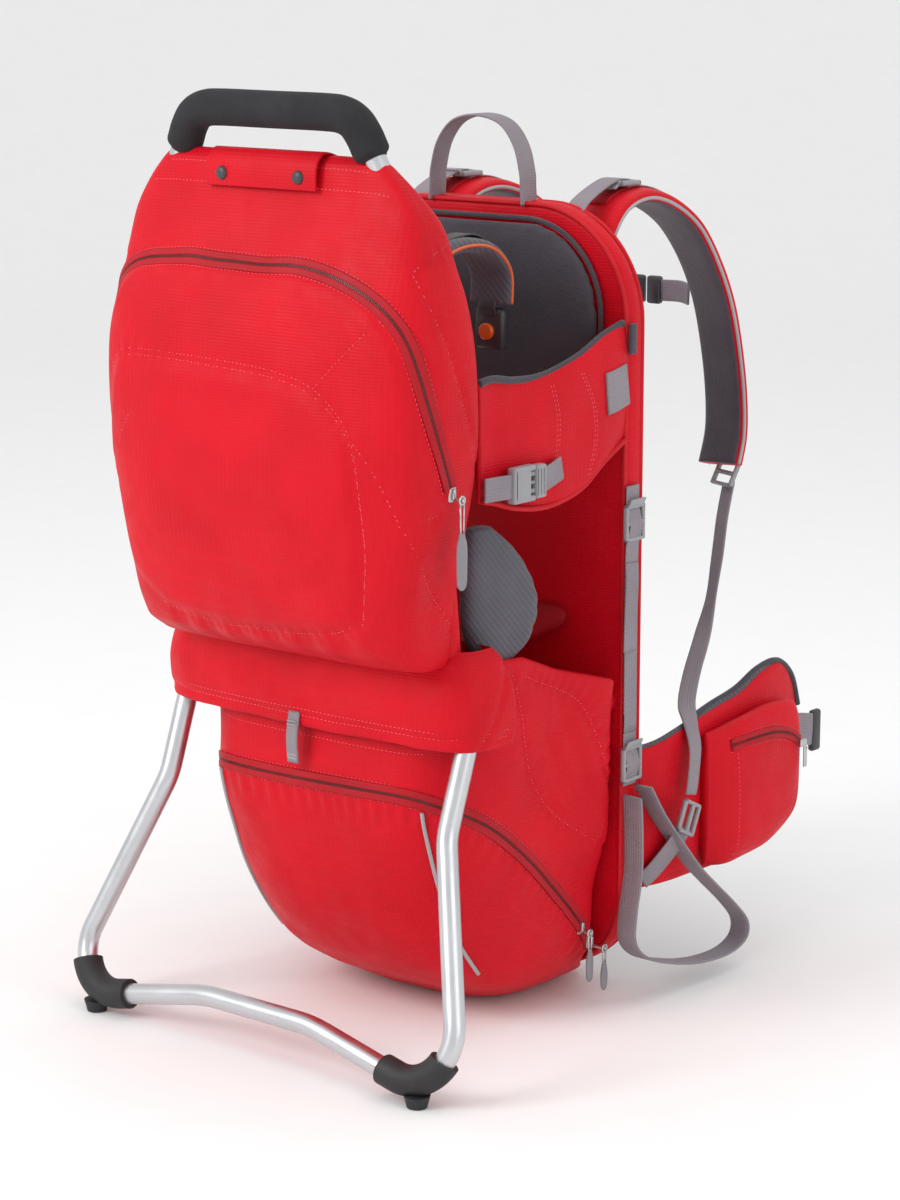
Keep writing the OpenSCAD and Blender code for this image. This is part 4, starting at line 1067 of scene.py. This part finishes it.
STRAP_X = 88
STRAP = [
    (52, 636), (60, 666), (84, 691), (120, 699), (160, 690), (200, 668), (232, 634), (255, 596), (269, 556),
    (279, 510), (281, 470), (272, 440),
]
STERNUM = [(56, 262, 596), (40, 270, 597), (17, 274, 596)]
LIFTER = [(42, 690), (52, 698), (72, 707), (92, 713), (106, 713), (118, 710)]
STRAP_TOE = math.radians(19)  # how far the straps turn outwards towards their lower ends
PATCH, BAND = slice(16, 25), slice(11, 66)  # stretches of the strap's route
for side, word in SIDES:
    body = f"shoulder_{word}"
    route = smooth([(STRAP_X, y, z) for y, z in STRAP], 6)
    toe = STRAP_TOE * np.minimum(1, np.arange(len(route)) / 36)
    wide = np.stack([np.cos(toe), -np.sin(toe), np.zeros(len(route))], 1)
    d = unit(np.gradient(route, axis=0))
    across = unit(wide - d * (wide * d).sum(1, keepdims=True))
    out = np.cross(d, across)
    inward = -out if np.mean((out * (route - arr([STRAP_X, 120, 520]))).sum(1)) > 0 else out
    strap_bits = solid(mirror(soft_band(route, wide, 58, 13, 32), side))
    strap = make(f"strap_{word}", strap_bits, RED, body)
    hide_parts(f"shoulder_strap_{word}")
    lining = soft_band(route + inward * 3.4, wide, 53, 8.5, 28)
    make(f"strap_lining_{word}", solid(mirror(lining, side)), MAUVE, body)
    for s, letter in ((-1, "a"), (1, "b")):
        cord = tube(mirror(route + across * s * 28.6 + inward * 1.5, side), 1.6, 8)
        make(f"strap_piping_{word}_{letter}", cord, REFLECTIVE, body)
    for name, stretch, lift, w, t, mat in (
        ("patch", PATCH, 8.2, 20.6, 1.2, REFLECTIVE), ("centre_band", BAND, 7.2, 20, 1.6, RED_TAPE),
    ):
        line = mirror(route[stretch] - inward[stretch] * lift, side)
        make(f"strap_{name}_{word}", ribbon(line, mirror(across[stretch], side), w, t), mat, body)
    thread = Bits()
    surface = bvh_of(strap_bits)
    for s in (-1, 1):
        line = mirror(route - inward * 7 + across * s * 23, side)
        stitches(thread, surface, line, (side * STRAP_X, 130, 520))
    make(f"strap_thread_{word}", thread, THREAD, body, flat=True)
    parts = Bits()
    lock_axes = frame_axes((side, 0, 0), (0, -1, 0.03))
    ladder_lock(parts, (side * STRAP_X, 106, 710), lock_axes, 28, 30, 5)
    low_axes = frame_axes((side * math.cos(0.33), -math.sin(0.33), 0), (0.0, 0.46, 0.88))
    ladder_lock(parts, (side * 91, 277, 431), low_axes, 30, 26, 5)
    ob = make(f"strap_locks_{word}", parts, GREY_PLASTIC, body)
    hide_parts(f"strap_buckles_{word}")
    lifter = ribbon(smooth([(side * STRAP_X, y, z) for y, z in LIFTER], 6), (1, 0, 0), 20, 1.8)
    ob = make(f"lifter_{word}", lifter, WEBBING)
    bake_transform(ob)
    sternum = ribbon(mirror(smooth(STERNUM, 8), side), (0, 0, 1), 20, 2.2)
    make(f"sternum_web_{word}", sternum, WEBBING, body)
    clip = block(Bits(), (side * 9.5, 274, 596), (15, 8, 26), r=2.5)
    ob = make(f"sternum_clip_{word}", clip, DARK_PLASTIC, body)
    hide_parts(f"sternum_strap_{word}")

# ---------- hip fins ----------

FIN = [
    (46, 156, 96, 222, 11), (70, 163, 96, 225, 13), (92, 166, 96, 230, 13), (119, 167, 96, 236, 13),
    (150, 169, 96, 243, 13), (190, 170, 98, 250, 13), (225, 169, 106, 262, 13), (258, 166, 120, 264, 12),
    (282, 162, 144, 246, 11), (294, 160, 166, 216, 9),
]
LINING = [(y, x - 2.6, low + 3, high + 3, t - 2) for y, x, low, high, t in FIN]
POCKET = [
    (122, 178, 104, 226, 8), (138, 184, 102, 230, 20), (160, 187, 103, 234, 25), (205, 187, 108, 238, 26),
    (245, 185, 122, 235, 24), (262, 180, 132, 226, 16), (270, 176, 142, 216, 6),
]
POCKET_ZIP = [(196, 140, 214), (199, 158, 216), (199.5, 185, 216), (199, 210, 214), (198, 232, 208), (195, 250, 196)]
POCKET_SEAMS = (
    [(199, 150, 120), (199, 150, 160), (198, 148, 205)], [(199, 236, 124), (199, 243, 160), (197, 248, 190)],
    [(198, 146, 110), (199, 180, 110), (199, 215, 116), (197, 240, 126)],
)
BELT = [(166, 284, 196), (168, 304, 192), (165, 320, 188)]
for side, word in SIDES:
    body = f"fin_{word}"
    fin = make(f"fin_outer_{word}", solid(mirror(strip(FIN, 7, 44), side)), RED)
    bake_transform(fin)
    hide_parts(f"hip_fin_{word}")
    if side > 0:
        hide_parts("hip_roots")
    lining = make(f"fin_lining_{word}", solid(mirror(strip(LINING, 7, 36), side)), RIBBED)
    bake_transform(lining)
    p = strip(POCKET, 7, 44)
    p = p + arr([1, 0, 0]) * (1.2 * rough(p, (40, 40, 40), 21))[..., None]
    pocket_bits = solid(mirror(p, side))
    pocket = make(f"fin_pocket_{word}", pocket_bits, RED, body)
    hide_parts(f"hip_pocket_{word}")
    pocket_centre = (side * 160, 190, 175)
    pocket_bvh = bvh_of(pocket_bits)
    zipper(f"hip_zip_{word}", pocket_bvh, mirror(POCKET_ZIP, side), pocket_centre, body, tape=10, lift=0.5)
    thread = Bits()
    for line in POCKET_SEAMS:
        stitches(thread, pocket_bvh, mirror(smooth(line, 6), side), pocket_centre)
    make(f"hip_thread_{word}", thread, THREAD, body, flat=True)
    edge = smooth([(164, y, high + 1.5) for y, x, low, high, t in FIN if y > 116], 6)
    make(f"fin_edge_{word}", tube(mirror(edge, side), 3.4, 10), CHARCOAL, body)
    make(f"belt_web_{word}", ribbon(mirror(smooth(BELT, 6), side), (0, 0, 1), 30, 2.2), WEBBING, body)
    clip = block(Bits(), (side * 164, 326, 186), (7, 14, 40), r=2.8)
    ob = make(f"belt_clip_{word}", clip, DARK_PLASTIC, body)
    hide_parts(f"belt_end_{word}")

# ---------- handle, flap, loops ----------

HANDLE_Y, HANDLE_Z, HANDLE_LEAN = -243, 785, 0.105
FOAM_HALF = [(0, HANDLE_Z), (55, HANDLE_Z), (74, 783.5), (86, 778), (94, 768), (98.5, 759), (103, 750)]
half = [(x, HANDLE_Y + (HANDLE_Z - z) * HANDLE_LEAN, z) for x, z in FOAM_HALF]
path = smooth([(-x, y, z) for x, y, z in half[:0:-1]] + half, 8)
s = length_along(path)
s = np.minimum(s, s[-1] - s)
radius = 15 - 4.5 * np.exp(-((s / 3.0) ** 2))
foam = make("handle_foam", tube(path, radius, 32), FOAM, "frame")
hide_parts("handle_grip")

FLAP = [(-232, 749.5), (-240, 752), (-249, 752.5), (-256, 746), (-258.5, 736), (-258.5, 724)]
flap_path = smooth([(0, y, z) for y, z in FLAP], 6)
flap = make("flap_skin", ribbon(flap_path, (1, 0, 0), 118, 2.6), RED, "flap")
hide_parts("snap_flap")
snaps = Bits()
for x in (-41, 41):
    snaps.join(tube([(x, y, 734) for y in (-259.8, -260.3, -262, -262.4)], [5.6, 5.6, 4.6, 1.5], 24))
ob = make("flap_snap_caps", snaps, DARK_PLASTIC, "flap")
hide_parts("flap_snaps")

GRAB_HALF = [(51, 694), (50, 709), (49, 722), (42, 745), (26, 763)]
path = smooth([(x, 26, z) for x, z in GRAB_HALF + [(0, 769)]] + [(-x, 26, z) for x, z in GRAB_HALF[::-1]], 6)
ob = make("grab_band", ribbon(path, (0, 1, 0), 22, 2.4), WEBBING)
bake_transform(ob)
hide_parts("grab_loop")

gear_path = smooth([(-8, -216, 284), (-8, -220, 262), (-8, -218.5, 240)], 5)
gear = make("gear_tab", ribbon(gear_path, (1, 0, 0), 12, 2.6), WEBBING, "frame")
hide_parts("gear_loop")
tack = Bits()
for z in (276, 273, 247, 244):
    block(tack, (-8, -221.4 + abs(z - 262) * 0.08, z), (10, 1.0, 0.8), r=0.2)
make("gear_tab_tacks", tack, REFLECTIVE, "frame", flat=True)

# ---------- sliders and pulls ----------


def circle(radius, n):
    """Points of a circle that faces along x."""
    a = np.linspace(0, 2 * np.pi, n, endpoint=False)
    return np.stack([np.zeros(n), radius * np.cos(a), radius * np.sin(a)], 1)


def slider_and_pull(name, slider_node, pull_node, body, at, pin, length, width):
    """Metal slider with its pin, and the pull that hangs on the pin: a metal stem and a moulded tab."""
    pull_body = f"{body}_pull"
    at = arr(at)
    b = block(Bits(), at + arr([2, 0, 0]), (3.4, 9, 13), r=1.4)
    block(b, at + arr([4.4, 0, 0]), (3, 3.6, 9), r=1.2)
    b.join(tube([at + arr([x, 0, -4]) for x in (3, 4, pin + 1.4, pin + 2)], [1.5, 1.5, 1.5, 1.1], 16))
    ob = make(f"{name}_slider_body", b, ZINC, body)
    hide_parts(slider_node)
    hang = at + arr([pin, 0, -4])
    stem = length * 0.42
    wires = tube(circle(3.1, 24) + hang, 1.1, 8, closed=True)
    for s in (-1, 1):
        wires.join(tube([hang + arr([0, s * y, -z]) for y, z in ((2.3, 2), (2.0, stem * 0.5), (1.6, stem))], 0.9, 8))
    make(f"{name}_pull_stem", wires, ZINC, pull_body)
    rows = [
        (stem - 4, width * 0.42, 2.4), (stem, width * 0.62, 3.0), (stem + 6, width * 0.95, 3.4),
        (length * 0.7, width * 1.05, 3.4), (length - 5, width * 0.9, 3.2), (length - 1, width * 0.55, 2.6),
        (length + 0.4, width * 0.2, 1.6),
    ]
    a = np.linspace(0, 2 * np.pi, 28, endpoint=False)
    grid = []
    for d, w, t in smooth(rows, 4):
        dent = 0.35 * math.exp(-(((d - length * 0.72) / 4) ** 2))
        y = w / 2 * np.sign(np.cos(a)) * np.abs(np.cos(a)) ** 0.6
        x = (t / 2 - dent) * np.sign(np.sin(a)) * np.abs(np.sin(a)) ** 0.7
        grid.append(hang + np.stack([x, y, np.full(28, -d)], 1))
    tab = make(f"{name}_pull_tab", solid(arr(grid)), PULL, pull_body)
    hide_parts(pull_node)


ZIP_DIRECTION = unit([6.3, -44, 46])
LOW = arr([137.2, 4, 56])
HIGH = LOW + ZIP_DIRECTION * 24
slider_and_pull("pocket", "pocket_slider", "pocket_pull", "upper_zip", (166, -224, 490), 12.5, 72, 12)
slider_and_pull("bag_low", "bag_slider_lower", "bag_pull_lower", "bag_zip_low", LOW, 18.5, 38, 9)
slider_and_pull("bag_high", "bag_slider_upper", "bag_pull_upper", "bag_zip_high", HIGH, 12.5, 44, 9)
for side, word in SIDES:
    at = arr([202.3, 246, 196])
    b = block(Bits(), mirror(at, side), (3, 10, 7), r=1.2)
    b.join(tube(mirror(circle(2.6, 16) + at + arr([0.6, 3, -6]), side), 0.8, 8, closed=True))
    block(b, mirror(at + arr([0.6, 3, -14]), side), (1.7, 5, 18), r=0.7)
    ob = make(f"hip_slider_body_{word}", b, ZINC, f"fin_zip_{word}")
    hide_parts(f"hip_slider_{word}")
